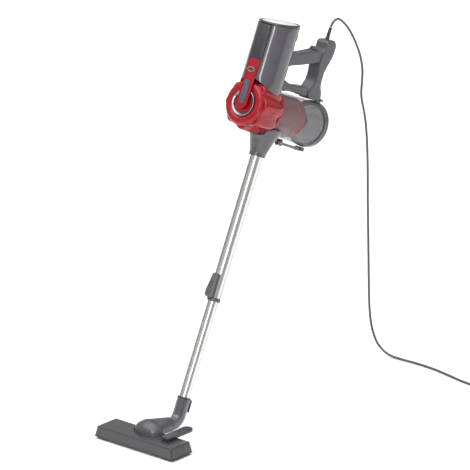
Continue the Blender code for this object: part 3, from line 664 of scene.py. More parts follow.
def circle(centre: tuple[float, float], radius: float, start: float, end: float,
           count: int) -> list[tuple[float, float]]:
    """Return points along an arc.

    Args:
        centre: centre of the arc.
        radius: its radius.
        start: its first angle, in degrees.
        end: its last angle, in degrees.
        count: spans between the points.

    Returns:
        The count + 1 points.
    """
    angles = [math.radians(start + (end - start) * i / count) for i in range(count + 1)]
    return [(centre[0] + radius * math.cos(a), centre[1] + radius * math.sin(a))
            for a in angles]


def join_meshes(name: str, *meshes: bpy.types.Mesh) -> bpy.types.Mesh:
    """Put meshes together in one without cutting them.

    Args:
        name: name of the new mesh.
        meshes: the meshes.

    Returns:
        The joined mesh.
    """
    bm = bmesh.new()
    for mesh in meshes:
        bm.from_mesh(mesh)
    joined = bpy.data.meshes.new(name)
    bm.to_mesh(joined)
    bm.free()
    return joined


# ---- rules that repeat a shape ------------------------------------------------------------

class Rule:
    """A Geometry Nodes tree with named inputs, built up node by node."""

    def __init__(self, name: str, sizes: dict[str, tuple[str, object]]) -> None:
        """Start the tree.

        Args:
            name: name of the tree.
            sizes: socket type and usual value of each named input.
        """
        self.tree = bpy.data.node_groups.new(name, "GeometryNodeTree")
        face = self.tree.interface
        face.new_socket("Geometry", in_out="INPUT", socket_type="NodeSocketGeometry")
        for key, (kind, value) in sizes.items():
            socket = face.new_socket(key, in_out="INPUT", socket_type=kind)
            socket.default_value = value
        face.new_socket("Material", in_out="INPUT", socket_type="NodeSocketMaterial")
        face.new_socket("Geometry", in_out="OUTPUT", socket_type="NodeSocketGeometry")
        self.given = self.tree.nodes.new("NodeGroupInput").outputs

    def add(self, kind: str, settings: Values | None = None,
            inputs: dict[str | int, object] | None = None) -> bpy.types.Node:
        """Add a node to the tree."""
        return add_node(self.tree, kind, settings, inputs)

    def math(self, operation: str, a: object, b: object = 0.0) -> bpy.types.NodeSocket:
        """Return the result of a sum on two values or sockets."""
        return self.add("ShaderNodeMath", {"operation": operation}, {0: a, 1: b}).outputs[0]

    def close(self, geometry: bpy.types.NodeSocket) -> None:
        """End the tree: make the copies real and give them the material.

        Args:
            geometry: the socket that holds the finished copies.
        """
        real = self.add("GeometryNodeRealizeInstances", None, {"Geometry": geometry})
        dressed = self.add("GeometryNodeSetMaterial", None, {
            "Geometry": real.outputs[0], "Material": self.given["Material"]})
        self.add("NodeGroupOutput", None, {0: dressed.outputs[0]})

    def grow(self, name: str, finish: Finish, values: Values,
             base: bpy.types.Mesh | None = None) -> bpy.types.Mesh:
        """Run the tree on a base mesh.

        Args:
            name: name of the result.
            finish: finish handed to the tree.
            values: sizes by input name.
            base: mesh that the tree starts from, if it needs one.

        Returns:
            The plain mesh.
        """
        holder = bpy.data.objects.new(name, base or bpy.data.meshes.new(name))
        bpy.context.scene.collection.objects.link(holder)
        modifier = holder.modifiers.new("rule", "NODES")
        modifier.node_group = self.tree
        chosen = {**values, "Material": finish.material()}
        for item in self.tree.interface.items_tree:
            if item.in_out == "INPUT" and item.name in chosen:
                modifier[item.identifier] = chosen[item.name]
        return taken(holder)


def lobe_rule() -> Rule:
    """Build the rule that pushes a turned shell out into rounded lobes.

    Returns:
        The rule; it moves points beyond Inner Radius, about the Z axis.
    """
    rule = Rule("lobed_shell", {
        "Lobes": ("NodeSocketFloat", 8.0), "Height": ("NodeSocketFloat", 3.0),
        "Phase": ("NodeSocketFloat", 0.0), "Inner Radius": ("NodeSocketFloat", 55.0),
        "Outer Radius": ("NodeSocketFloat", 65.0)})
    given = rule.given
    place = rule.add("GeometryNodeInputPosition")
    split = rule.add("ShaderNodeSeparateXYZ", None, {0: place.outputs[0]})
    angle = rule.math("ARCTAN2", split.outputs[1], split.outputs[0])
    wave = rule.math("COSINE", rule.math("MULTIPLY", rule.math(
        "SUBTRACT", angle, given["Phase"]), given["Lobes"]))
    flat = rule.add("ShaderNodeCombineXYZ", None, {0: split.outputs[0], 1: split.outputs[1]})
    radius = rule.add("ShaderNodeVectorMath", {"operation": "LENGTH"}, {0: flat.outputs[0]})
    share = rule.add("ShaderNodeMapRange", {"interpolation_type": "SMOOTHSTEP"}, {
        "Value": radius.outputs["Value"], "From Min": given["Inner Radius"],
        "From Max": given["Outer Radius"]})
    reach = rule.math("MULTIPLY", rule.math("MULTIPLY", wave, given["Height"]),
                      share.outputs[0])
    outwards = rule.add("ShaderNodeVectorMath", {"operation": "NORMALIZE"},
                        {0: flat.outputs[0]})
    push = rule.add("ShaderNodeVectorMath", {"operation": "SCALE"}, {
        0: outwards.outputs[0], "Scale": reach})
    moved = rule.add("GeometryNodeSetPosition", None, {
        "Geometry": given["Geometry"], "Offset": push.outputs[0]})
    rule.close(moved.outputs[0])
    return rule


def ring_rule() -> Rule:
    """Build the rule that sets blocks in rings round the Z axis.

    Returns:
        The rule; Width is round the ring, Depth is outwards and Length is along Z.
    """
    rule = Rule("blocks_in_rings", {
        "Count": ("NodeSocketInt", 12), "Rings": ("NodeSocketInt", 1),
        "Pitch": ("NodeSocketFloat", 5.0), "Radius": ("NodeSocketFloat", 30.0),
        "Width": ("NodeSocketFloat", 1.0), "Depth": ("NodeSocketFloat", 1.0),
        "Length": ("NodeSocketFloat", 4.0)})
    given = rule.given
    circle_node = rule.add("GeometryNodeMeshCircle", None, {
        "Vertices": given["Count"], "Radius": given["Radius"]})
    place = rule.add("GeometryNodeInputPosition")
    faced = rule.add("FunctionNodeAlignEulerToVector", {"axis": "X"},
                     {"Vector": place.outputs[0]})
    size = rule.add("ShaderNodeCombineXYZ", None, {
        0: given["Depth"], 1: given["Width"], 2: given["Length"]})
    cube = rule.add("GeometryNodeMeshCube", None, {"Size": size.outputs[0]})
    one_ring = rule.add("GeometryNodeInstanceOnPoints", None, {
        "Points": circle_node.outputs[0], "Instance": cube.outputs[0],
        "Rotation": faced.outputs[0]})
    step = rule.add("ShaderNodeCombineXYZ", None, {2: given["Pitch"]})
    line = rule.add("GeometryNodeMeshLine", None, {
        "Count": given["Rings"], "Offset": step.outputs[0]})
    rings = rule.add("GeometryNodeInstanceOnPoints", None, {
        "Points": line.outputs[0], "Instance": one_ring.outputs[0]})
    rule.close(rings.outputs[0])
    return rule


def row_rule() -> Rule:
    """Build the rule that sets round-ended bars in a straight row along X.

    Returns:
        The rule; each bar is Length long, upright along Z.
    """
    rule = Rule("bars_in_a_row", {
        "Count": ("NodeSocketInt", 8), "Pitch": ("NodeSocketFloat", 5.0),
        "Radius": ("NodeSocketFloat", 1.0), "Length": ("NodeSocketFloat", 20.0)})
    given = rule.given
    half = rule.math("MULTIPLY", rule.math("MULTIPLY", rule.math(
        "SUBTRACT", given["Count"], 1.0), given["Pitch"]), -0.5)
    start = rule.add("ShaderNodeCombineXYZ", None, {0: half})
    step = rule.add("ShaderNodeCombineXYZ", None, {0: given["Pitch"]})
    line = rule.add("GeometryNodeMeshLine", None, {
        "Count": given["Count"], "Start Location": start.outputs[0],
        "Offset": step.outputs[0]})
    bar = rule.add("GeometryNodeMeshCylinder", None, {
        "Vertices": 10, "Radius": given["Radius"], "Depth": given["Length"]})
    ball = rule.add("GeometryNodeMeshUVSphere", None, {
        "Segments": 10, "Rings": 6, "Radius": given["Radius"]})
    ends = []
    for sign in (-0.5, 0.5):
        lift = rule.add("ShaderNodeCombineXYZ", None, {
            2: rule.math("MULTIPLY", given["Length"], sign)})
        ends.append(rule.add("GeometryNodeTransform", None, {
            "Geometry": ball.outputs[0], "Translation": lift.outputs[0]}))
    whole = rule.add("GeometryNodeJoinGeometry")
    for part in (bar, *ends):
        rule.tree.links.new(part.outputs[0], whole.inputs[0])
    row = rule.add("GeometryNodeInstanceOnPoints", None, {
        "Points": line.outputs[0], "Instance": whole.outputs[0]})
    rule.close(row.outputs[0])
    return rule


def bristle_rule() -> Rule:
    """Build the rule that plants leaning hairs on a rectangle.

    Returns:
        The rule; hairs hang down along -Z from the XY plane.
    """
    rule = Rule("planted_bristles", {
        "Across": ("NodeSocketInt", 60), "Deep": ("NodeSocketInt", 3),
        "Width": ("NodeSocketFloat", 180.0), "Depth": ("NodeSocketFloat", 4.0),
        "Length": ("NodeSocketFloat", 7.0), "Hair": ("NodeSocketFloat", 0.5),
        "Lean": ("NodeSocketFloat", 0.12), "Seed": ("NodeSocketInt", 7)})
    given = rule.given
    grid = rule.add("GeometryNodeMeshGrid", None, {
        "Size X": given["Width"], "Size Y": given["Depth"], "Vertices X": given["Across"],
        "Vertices Y": given["Deep"]})
    low = rule.math("MULTIPLY", given["Lean"], -1.0)
    lean = rule.add("FunctionNodeRandomValue", {"data_type": "FLOAT_VECTOR"}, {
        "Min": rule.add("ShaderNodeCombineXYZ", None, {0: low, 1: low}).outputs[0],
        "Max": rule.add("ShaderNodeCombineXYZ", None, {
            0: given["Lean"], 1: given["Lean"]}).outputs[0],
        "Seed": given["Seed"]})
    hair = rule.add("GeometryNodeMeshCone", None, {
        "Vertices": 5, "Radius Top": rule.math("MULTIPLY", given["Hair"], 0.6),
        "Radius Bottom": given["Hair"], "Depth": given["Length"]})
    hung = rule.add("GeometryNodeTransform", None, {
        "Geometry": hair.outputs[0], "Rotation": (math.pi, 0.0, 0.0)})
    planted = rule.add("GeometryNodeInstanceOnPoints", None, {
        "Points": grid.outputs[0], "Instance": hung.outputs[0],
        "Rotation": lean.outputs[0]})
    rule.close(planted.outputs[0])
    return rule


def screw_rule() -> Rule:
    """Build the rule that sets a cross-slotted screw head, facing +Z, at each given point.

    Returns:
        The rule.
    """
    rule = Rule("screw_heads", {"Radius": ("NodeSocketFloat", 3.2)})
    given = rule.given
    head = rule.add("GeometryNodeMeshCylinder", None, {
        "Vertices": 20, "Radius": given["Radius"], "Depth": 1.4})
    whole = rule.add("GeometryNodeMeshBoolean", {"operation": "DIFFERENCE"}, {
        0: head.outputs[0]})
    long = rule.math("MULTIPLY", given["Radius"], 1.3)
    for first, second in ((long, 0.8), (0.8, long)):
        size = rule.add("ShaderNodeCombineXYZ", None, {0: first, 1: second, 2: 1.2})
        bar = rule.add("GeometryNodeMeshCube", None, {"Size": size.outputs[0]})
        raised = rule.add("GeometryNodeTransform", None, {
            "Geometry": bar.outputs[0], "Translation": (0.0, 0.0, 0.6)})
        rule.tree.links.new(raised.outputs[0], whole.inputs[1])
    heads = rule.add("GeometryNodeInstanceOnPoints", None, {
        "Points": given["Geometry"], "Instance": whole.outputs[0]})
    rule.close(heads.outputs[0])
    return rule


# ---- mains cord ---------------------------------------------------------------------------

@dataclass
class MainsCord:
    """The flex, from its strain relief down to a coil on the floor, and its plug."""

    diameter: float = 6.5
    relief_at: tuple[float, float] = (143.0, 379.5)     # (R, W) where the flex comes out
    coil_at: tuple[float, float] = (400.0, 950.0)
    coil_outer: float = 52.75                           # centre line of the outermost turn
    turns_each: float = 3.7                             # turns in each layer
    layers: int = 3
    rise: float = 0.35                                  # turns taken to climb to a layer
    turn_points: int = 28                               # points of the centre line in a turn
    top_turn: float = 0.85                              # least share of a turn across the top
    leave: float = 0.42                                 # turns before its end that it moves out
    drop: float = 0.30                                  # turns before its end that it goes down
    tail_lead: float = 16.0                             # straight stretch before the tail
    path_step: float = 9.0                              # spacing of the curve's points
    plug_height: float = 17.9                           # the plug's axis above the floor
    floor_gap: float = 0.35

    def route(self) -> list[Vector]:
        """Return the hanging and lying part of the route, in HEAD."""
        x = self.coil_at[0]
        points = [
            (0, 742.4, 955.7), (0, 749.2, 964.6), (0, 759.7, 970.0), (0, 771.5, 970.5),
            (0, 788.0, 960.5), (0, 808.0, 940.5), (0, 828.0, 914.0), (0, 845.0, 884.0),
            (0, 861.0, 850.0),
            (0, 870.0, 817.0), (0, 872.0, 794.0), (0, 870.0, 768.0), (0, 867.5, 743.0),
            (0, 870.5, 719.0), (0, 878.0, 692.0), (0, 887.0, 650.0), (0, 893.0, 590.0),
            (0, 896.0, 520.0), (0, 897.0, 440.0), (1, 898.0, 360.0), (2, 899.0, 280.0),
            (3, 900.0, 200.0), (5, 901.0, 130.0), (12, 903.0, 75.0), (30, 906.0, 32.0),
            (62, 910.0, 9.0), (105, 914.0, 3.8), (160, 917.0, 3.6), (220, 914.0, 3.6),
            (280, 904.0, 3.6), (335, 894.0, 3.6), (x - 9.0, 890.0, 3.6)]
        return [Vector(point) for point in points]

    def tail(self) -> list[Vector]:
        """Return the route from the coil to the plug, in HEAD."""
        x = self.coil_at[0]
        points = [(x + 62.0, 962.0, 3.8), (x + 61.0, 980.0, 6.0), (x + 57.0, 1000.0, 11.0),
                  (x + 50.0, 1021.0, 15.5)]
        return [Vector(point) for point in points]

    def coil(self) -> list[Vector]:
        """Wind the stored length: layers in, out and in, then one last turn across the top.

        Returns:
            The centre line, in HEAD.
        """
        centre = Vector((*self.coil_at, 0.0))
        low = self.diameter / 2 + self.floor_gap
        start = self.route()[-1] - centre
        first = math.atan2(start.y, start.x)
        last = self.tail()[0] - centre - Vector((0.0, self.tail_lead, 0.0))
        inner = self.coil_outer - self.diameter * self.turns_each
        knots = [(0.0, Vector(start[:2]).length, low), (0.3, self.coil_outer, low)]
        turn, level, edge = 0.3, low, self.coil_outer
        for _ in range(self.layers):
            turn += self.turns_each
            edge = inner if edge == self.coil_outer else self.coil_outer
            knots.append((turn, edge, level))
            turn += self.rise
            level += self.diameter
            knots.append((turn, edge, level))
        ending = (math.atan2(last.y, last.x) - first) / math.tau
        total = ending + math.ceil(turn + self.top_turn - ending)
        away = Vector(last[:2]).length
        knots.append((total - self.leave, self.coil_outer, level))
        knots.append((total - self.drop, away, level))
        knots.append((total, away, low))
        points = []
        steps = round(total * self.turn_points)
        for i in range(1, steps):
            here = total * i / steps
            before, after = next(pair for pair in zip(knots, knots[1:]) if here <= pair[1][0])
            share = (here - before[0]) / (after[0] - before[0])
            eased = share * share * (3 - 2 * share)
            radius = before[1] + (after[1] - before[1]) * share
            height = before[2] + (after[2] - before[2]) * eased
            angle = first + math.tau * here
            points.append(centre + Vector((radius * math.cos(angle),
                                           radius * math.sin(angle), height)))
        return points

    def path(self) -> list[Vector]:
        """Return a smooth centre line through the whole route, in HEAD."""
        knots = self.route() + self.coil() + self.tail()
        ends = [2 * knots[0] - knots[1]] + knots + [2 * knots[-1] - knots[-2]]
        path = []
        for a, b, c, d in zip(ends, ends[1:], ends[2:], ends[3:]):
            count = max(1, round((c - b).length / self.path_step))
            for i in range(count):
                t = i / count
                path.append(0.5 * (2 * b + (c - a) * t + (2 * a - 5 * b + 4 * c - d) * t ** 2
                                   + (3 * b - a - 3 * c + d) * t ** 3))
        return path + [knots[-1]]

    def build(self) -> None:
        path = [HEAD @ point for point in self.path()]
        curve = bpy.data.curves.new("mains_cord", "CURVE")
        curve.dimensions = "3D"
        curve.bevel_depth = self.diameter * MM / 2
        curve.bevel_resolution = 3
        curve.use_fill_caps = True
        spline = curve.splines.new("POLY")
        spline.points.add(len(path) - 1)
        for knot, point in zip(spline.points, path):
            knot.co = (*point, 1.0)
        spline.use_smooth = True
        curve.materials.append(PVC.material())
        cord = bpy.data.objects.new("mains_cord", curve)
        bpy.context.scene.collection.objects.link(cord)
        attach(cord, "hand_unit")
        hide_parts("cord_lead", "cord_coil", "cord_tail")
        relief, tie, plug = self.relief(), self.tie(), self.plug()

    def relief(self) -> bpy.types.Object:
        """Build the tapered strain relief with its flexing ribs."""
        r, high = self.relief_at
        root, low = 332.0, 346.5
        ribs, pitch = 6, 4.4
        profile = [(0.0, high), (4.2, high), (4.6, high - 0.8)]
        for i in range(ribs):
            top = high - 3.0 - i * pitch
            wide = 4.6 + 0.13 * (i + 1)
            profile += [(wide, top), (wide - 0.9, top - 0.5), (wide - 0.9, top - 1.7),
                        (wide + 0.1, top - 2.2)]
        profile += [(5.6, low + 2.4), (5.7, low + 1.6), (5.6, low), (4.2, low), (4.2, root),
                    (0.0, root)]
        mesh = lathe("strain_relief_ribbed", profile, at=(0.0, r, 0.0), steps=32)
        return put("strain_relief_ribbed", mesh, RUBBER, "hand_unit", UNIT,
                   ["strain_relief"], 30)

    def tie(self) -> bpy.types.Object:
        """Build the flat tie that holds the coil together."""
        inside = self.coil_outer - self.diameter * self.turns_each - 4.2
        outside, top = self.coil_outer + 4.6, self.diameter * self.layers + 7.2
        outline = rounded([(inside, 3.0), (inside, top - 1.0), (outside, top - 1.0),
                           (outside, 0.9), (inside, 0.9), (inside, 3.0)], 5.0)
        middle = Vector(((inside + outside) / 2, top / 2))
        band = []
        for grow in (0.0, 0.9):
            band.append([(x + math.copysign(grow, x - middle.x),
                          max(0.1, z + math.copysign(grow, z - middle.y)))
                         for x, z in outline[:-1]])
        bm = bmesh.new()
        rows = [[[bm.verts.new((x, y, z)) for x, z in ring] for ring in band] for y in (-7, 7)]
        count = len(band[0])
        for i in range(count):
            j = (i + 1) % count
            for near, far in ((rows[0][0], rows[0][1]), (rows[0][1], rows[1][1]),
                              (rows[1][1], rows[1][0]), (rows[1][0], rows[0][0])):
                bm.faces.new((near[i], near[j], far[j], far[i]))
        mesh = closed(bm, "cord_tie")
        mesh.transform(Matrix.Translation((*self.coil_at, 0.0)) @ Matrix.Rotation(2.6, 4, "Z"))
        return put("cord_tie", mesh, RUBBER, "hand_unit", HEAD)

    def plug(self) -> list[bpy.types.Object]:
        """Build the moulded two-pin plug with its grip ribs and pins."""
        end, before = self.tail()[-1], self.tail()[-2]
        along = (end - before).normalized()
        heading = math.atan2(-along.x, along.y)
        place = (HEAD @ Matrix.Translation((end.x - 0.6 * math.sin(heading),
                                            end.y + 0.6 * math.cos(heading), self.plug_height))
                 @ Matrix.Rotation(heading, 4, "Z") @ Axis.R.value)
        profile = [(0, 0), (4.6, 0), (5.2, 3), (4.4, 4), (4.4, 6), (5.6, 7), (4.9, 8), (4.9, 10),
                   (6.2, 12), (9, 18), (12, 24), (15.6, 28), (17.4, 31.5), (17.5, 33),
                   (16.9, 33.6), (16.9, 34.6), (17.5, 35.2), (17.5, 40), (16.4, 41), (0, 41)]
        body = put("plug_body", lathe("plug_body", rounded(profile, 0.8, 2), steps=48), RUBBER,
                   "hand_unit", place, ["plug"], 30)
        pins = []
        for side in (-1, 1):
            pin = lathe("pin", [(0, 38), (2.4, 38), (2.4, 58), (1.9, 59.6), (1.2, 60), (0, 60)],
                        at=(9.5 * side, 0, 0), steps=20)
            pins.append(pin)
        metal = put("plug_pins", join_meshes("plug_pins", *pins), PIN_METAL, "hand_unit", place)
        return [body, metal]


# ---- floor head ---------------------------------------------------------------------------

@dataclass
class FloorHead:
    """Trims, boot lip, brushes, thread lifter, screws, pedal ribs and wheels of the head."""

    half_width: float = 134.5
    half_depth: float = 40.5
    top_half_width: float = 127.5
    top_half_depth: float = 36.5
    skirt: float = 5.0
    top: float = 35.5
    brush_y: float = 18.5
    pedal_x: float = 77.0
    pedal_y: float = 30.0
    bumper_height: float = 7.6
    seam_height: float = 12.2

    def outline(self, height: float, out: float = 0.0) -> list[Vector]:
        """Return the shell's four corners at a height.

        Args:
            height: the height.
            out: how far outside the shell they lie.

        Returns:
            The corners, from the front left one anticlockwise.
        """
        share = (height - self.skirt) / (self.top - self.skirt)
        wide = self.half_width + (self.top_half_width - self.half_width) * share + out
        deep = self.half_depth + (self.top_half_depth - self.half_depth) * share + out
        return [Vector((x * wide, y * deep, height)) for x, y in
                ((-1, -1), (1, -1), (1, 1), (-1, 1))]

    def loop(self, height: float, out: float, corner: float) -> list[Vector]:
        """Return a closed line round the shell with rounded corners.

        Args:
            height: height of the line.
            out: how far it lies outside the shell.
            corner: radius of its corners.

        Returns:
            The points, the last one not repeated.
        """
        corners = self.outline(height, out)
        flat = [(p.x, p.y) for p in corners]
        middle = ((flat[0][0] + flat[-1][0]) / 2, 0.0)
        line = rounded([middle, *flat, middle], corner, 5)[:-1]
        return [Vector((x, y, height)) for x, y in line]

    def build(self) -> None:
        """Build the head's own pieces."""
        self.trims()
        self.boot_details()
        self.brushes()
        self.underside()
        self.pedal()
        self.wheels()

    def trims(self) -> None:
        """Build the bumper strip and the seam bead."""
        bumper = tube("bumper", self.loop(self.bumper_height, -0.2, 5.0), 1.5, True, 10)
        put("head_bumper", bumper, RUBBER, "floor_head", HEAD)
        bead = tube("head_seam", self.loop(self.seam_height, -0.28, 4.0), 0.45, True, 8)
        put("head_seam", bead, GREY_MATTE, "floor_head", HEAD)

    def boot_details(self) -> None:
        """Build the lip round the boot's front."""
        half, deep, middle_y, height = 46.5, 33.5, 24.0, 36.2
        spread, steps = math.radians(74.0), 40
        arc = [Vector((half * math.sin(a), middle_y - deep * math.cos(a), height))
               for a in (spread * (2 * i / steps - 1) for i in range(steps + 1))]
        put("boot_lip", tube("boot_lip", arc, 1.3, False, 10), BLACK_GLOSS, "floor_head", HEAD)

    def brushes(self) -> None:
        """Plant the two bristle strips in their holders."""
        rule = bristle_rule()
        for name, side in (("front", -1), ("rear", 1)):
            holder = block(f"bristle_holder_{name}", (-90, self.brush_y * side - 2.3, 6.6),
                           (90, self.brush_y * side + 2.3, 8.3), 0.5)
            hair = rule.grow("hair", BRISTLE, {"Across": 110, "Deep": 4, "Width": 176.0,
                                               "Depth": 3.4, "Length": 6.0, "Hair": 0.42,
                                               "Seed": 11 + side})
            hair.transform(Matrix.Translation((0.0, self.brush_y * side, 6.8)))
            put(f"bristle_strip_{name}", join_meshes("strip", holder, hair), BRISTLE,
                "brushes", HEAD, [f"bristles_{name}"])

    def underside(self) -> None:
        """Build the thread lifters in the mouth and the sole's screws."""
        rule = row_rule()
        lifters = rule.grow("lifters", RED_DARK, {"Count": 2, "Pitch": 0.001, "Radius": 1.4,
                                                  "Length": 180.0})
        lifters.transform(Matrix.Translation((0, -8.8, 3.4)) @ Matrix.Rotation(
            math.pi / 2, 4, "Y"))
        put("thread_lifter", lifters, RED_DARK, "floor_head", HEAD)
        points = bpy.data.meshes.new("points")
        points.from_pydata([(x, y, 0.0) for x in (-116, 116) for y in (-10, 8)], [], [])
        screws = screw_rule().grow("sole_screws", STEEL, {"Radius": 3.0}, points)
        screws.transform(Matrix.Translation((0, 0, 3.2)) @ Matrix.Rotation(math.pi, 4, "X"))
        put("sole_screws", screws, STEEL, "floor_head", HEAD)

    def pedal(self) -> None:
        """Build the grip ribs across the brush pedal."""
        ribs = row_rule().grow("pedal_ribs", BLACK_GLOSS, {
            "Count": 5, "Pitch": 4.4, "Radius": 0.8, "Length": 17.0})
        ribs.transform(Matrix.Translation((self.pedal_x, self.pedal_y + 22.0, 45.4))
                       @ Matrix.Rotation(math.pi / 2, 4, "Z")
                       @ Matrix.Rotation(math.pi / 2, 4, "X"))
        put("pedal_ribs", ribs, BLACK_GLOSS, "pedal", HEAD)

    def wheels(self) -> None:
        """Build each wheel with a hub, a groove and a soft tread."""
        for name in ("left", "right"):
            low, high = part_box(f"wheel_{name}")
            centre = HEAD.inverted() @ ((low + high) / 2)
            profile = [(2.0, -4.6), (6.6, -4.6), (7.2, -5.0), (9.2, -5.0), (10.0, -4.2),
                       (10.0, -1.2), (9.4, -0.8), (9.4, 0.8), (10.0, 1.2), (10.0, 4.2),
                       (9.2, 5.0), (7.2, 5.0), (6.6, 4.6), (2.0, 4.6)]
            mesh = lathe("tread", profile, Axis.X, tuple(centre), 40)
            put(f"wheel_tread_{name}", mesh, RUBBER, f"{name}_wheel", HEAD, [f"wheel_{name}"])


# ---- wand ---------------------------------------------------------------------------------

@dataclass
class Wand:
    """The two telescopic tubes, their collars and dimple, and the lock's ribs."""

    upper_radius: float = 16.5
    lower_radius: float = 14.0
    upper_end: float = -392.0
    low_end: float = -653.0

    def build(self) -> None:
        """Build the wand's own pieces."""
        collar = lathe("wand_collar", rounded([
            (self.upper_radius + 0.05, self.upper_end + 9), (self.upper_radius + 1.5,
             self.upper_end + 8), (self.upper_radius + 1.9, self.upper_end + 4),
            (self.upper_radius + 1.5, self.upper_end - 1.2),
            (self.lower_radius + 0.4, self.upper_end - 1.6),
            (self.lower_radius + 0.4, self.upper_end - 0.3),
            (self.upper_radius + 0.05, self.upper_end - 0.3)], 0.8, 3), steps=64)
        put("wand_collar", collar, GREY_GLOSS, "hand_unit", UNIT)
        lip = lathe("elbow_lip", rounded([
            (14.4, self.low_end + 0.3), (18.2, self.low_end + 0.3), (18.9, self.low_end - 1.0),
            (18.9, self.low_end - 4.0), (18.05, self.low_end - 5.0),
            (18.05, self.low_end - 0.6), (14.4, self.low_end - 0.6)], 0.5, 2), steps=64)
        put("elbow_lip", lip, BLACK_GLOSS, "lower_wand", UNIT)
        self.tubes()
        self.dimple()
        self.lock_ribs()

    def tubes(self) -> None:
        """Build the two drawn tubes and the pressed edge of each notch down the lower one."""
        for name, bore, radius, low, high, body in (
                ("upper_tube", 15.2, self.upper_radius, self.upper_end, 34.0, "hand_unit"),
                ("lower_tube", 12.5, self.lower_radius, -692.0, -300.0, "lower_wand")):
            mesh = lathe(name, [(bore, low), (radius, low), (radius, high), (bore, high)])
            put(f"{name}_drawn", mesh, CHROME, body, UNIT, [name])
        count, pitch, first = 10, 23.4, -410.0
        edges = row_rule().grow("notch_edges", CHROME, {
            "Count": count, "Pitch": pitch, "Radius": 0.5, "Length": 4.0})
        edges.transform(Matrix.Translation((0.0, 0.45 - self.lower_radius,
                                            first - pitch * (count - 1) / 2))
                        @ Matrix.Rotation(math.pi / 2, 4, "Y"))
        put("notch_edges", edges, CHROME, "lower_wand", UNIT)

    def dimple(self) -> None:
        """Build the edge of the small oval depression stamped above the lock."""
        half, tall, at = 3.4, 5.6, -309.0
        ring = circle((0.0, 0.0), 1.0, 0.0, 360.0, 32)[:-1]
        line = [Vector((half * x, -math.sqrt(self.upper_radius ** 2 - (half * x) ** 2) - 0.05,
                        at + tall * z)) for x, z in ring]
        put("tube_dimple", tube("tube_dimple", line, 0.35, True, 8), STEEL, "hand_unit", UNIT)

    def lock_ribs(self) -> None:
        """Build the thumb ribs across the lock slider."""
        ribs = row_rule().grow("lock_ribs", BLACK_GLOSS, {
            "Count": 5, "Pitch": 4.2, "Radius": 0.7, "Length": 13.0})
        slope = math.atan2(6.5, 28.0)
        ribs.transform(Matrix.Translation((0.0, -30.6, -352.0))
                       @ Matrix.Rotation(-slope, 4, "X")
                       @ Matrix.Rotation(math.pi / 2, 4, "Y"))
        put("lock_ribs", ribs, BLACK_GLOSS, "lock", UNIT)


# ---- hand unit ----------------------------------------------------------------------------

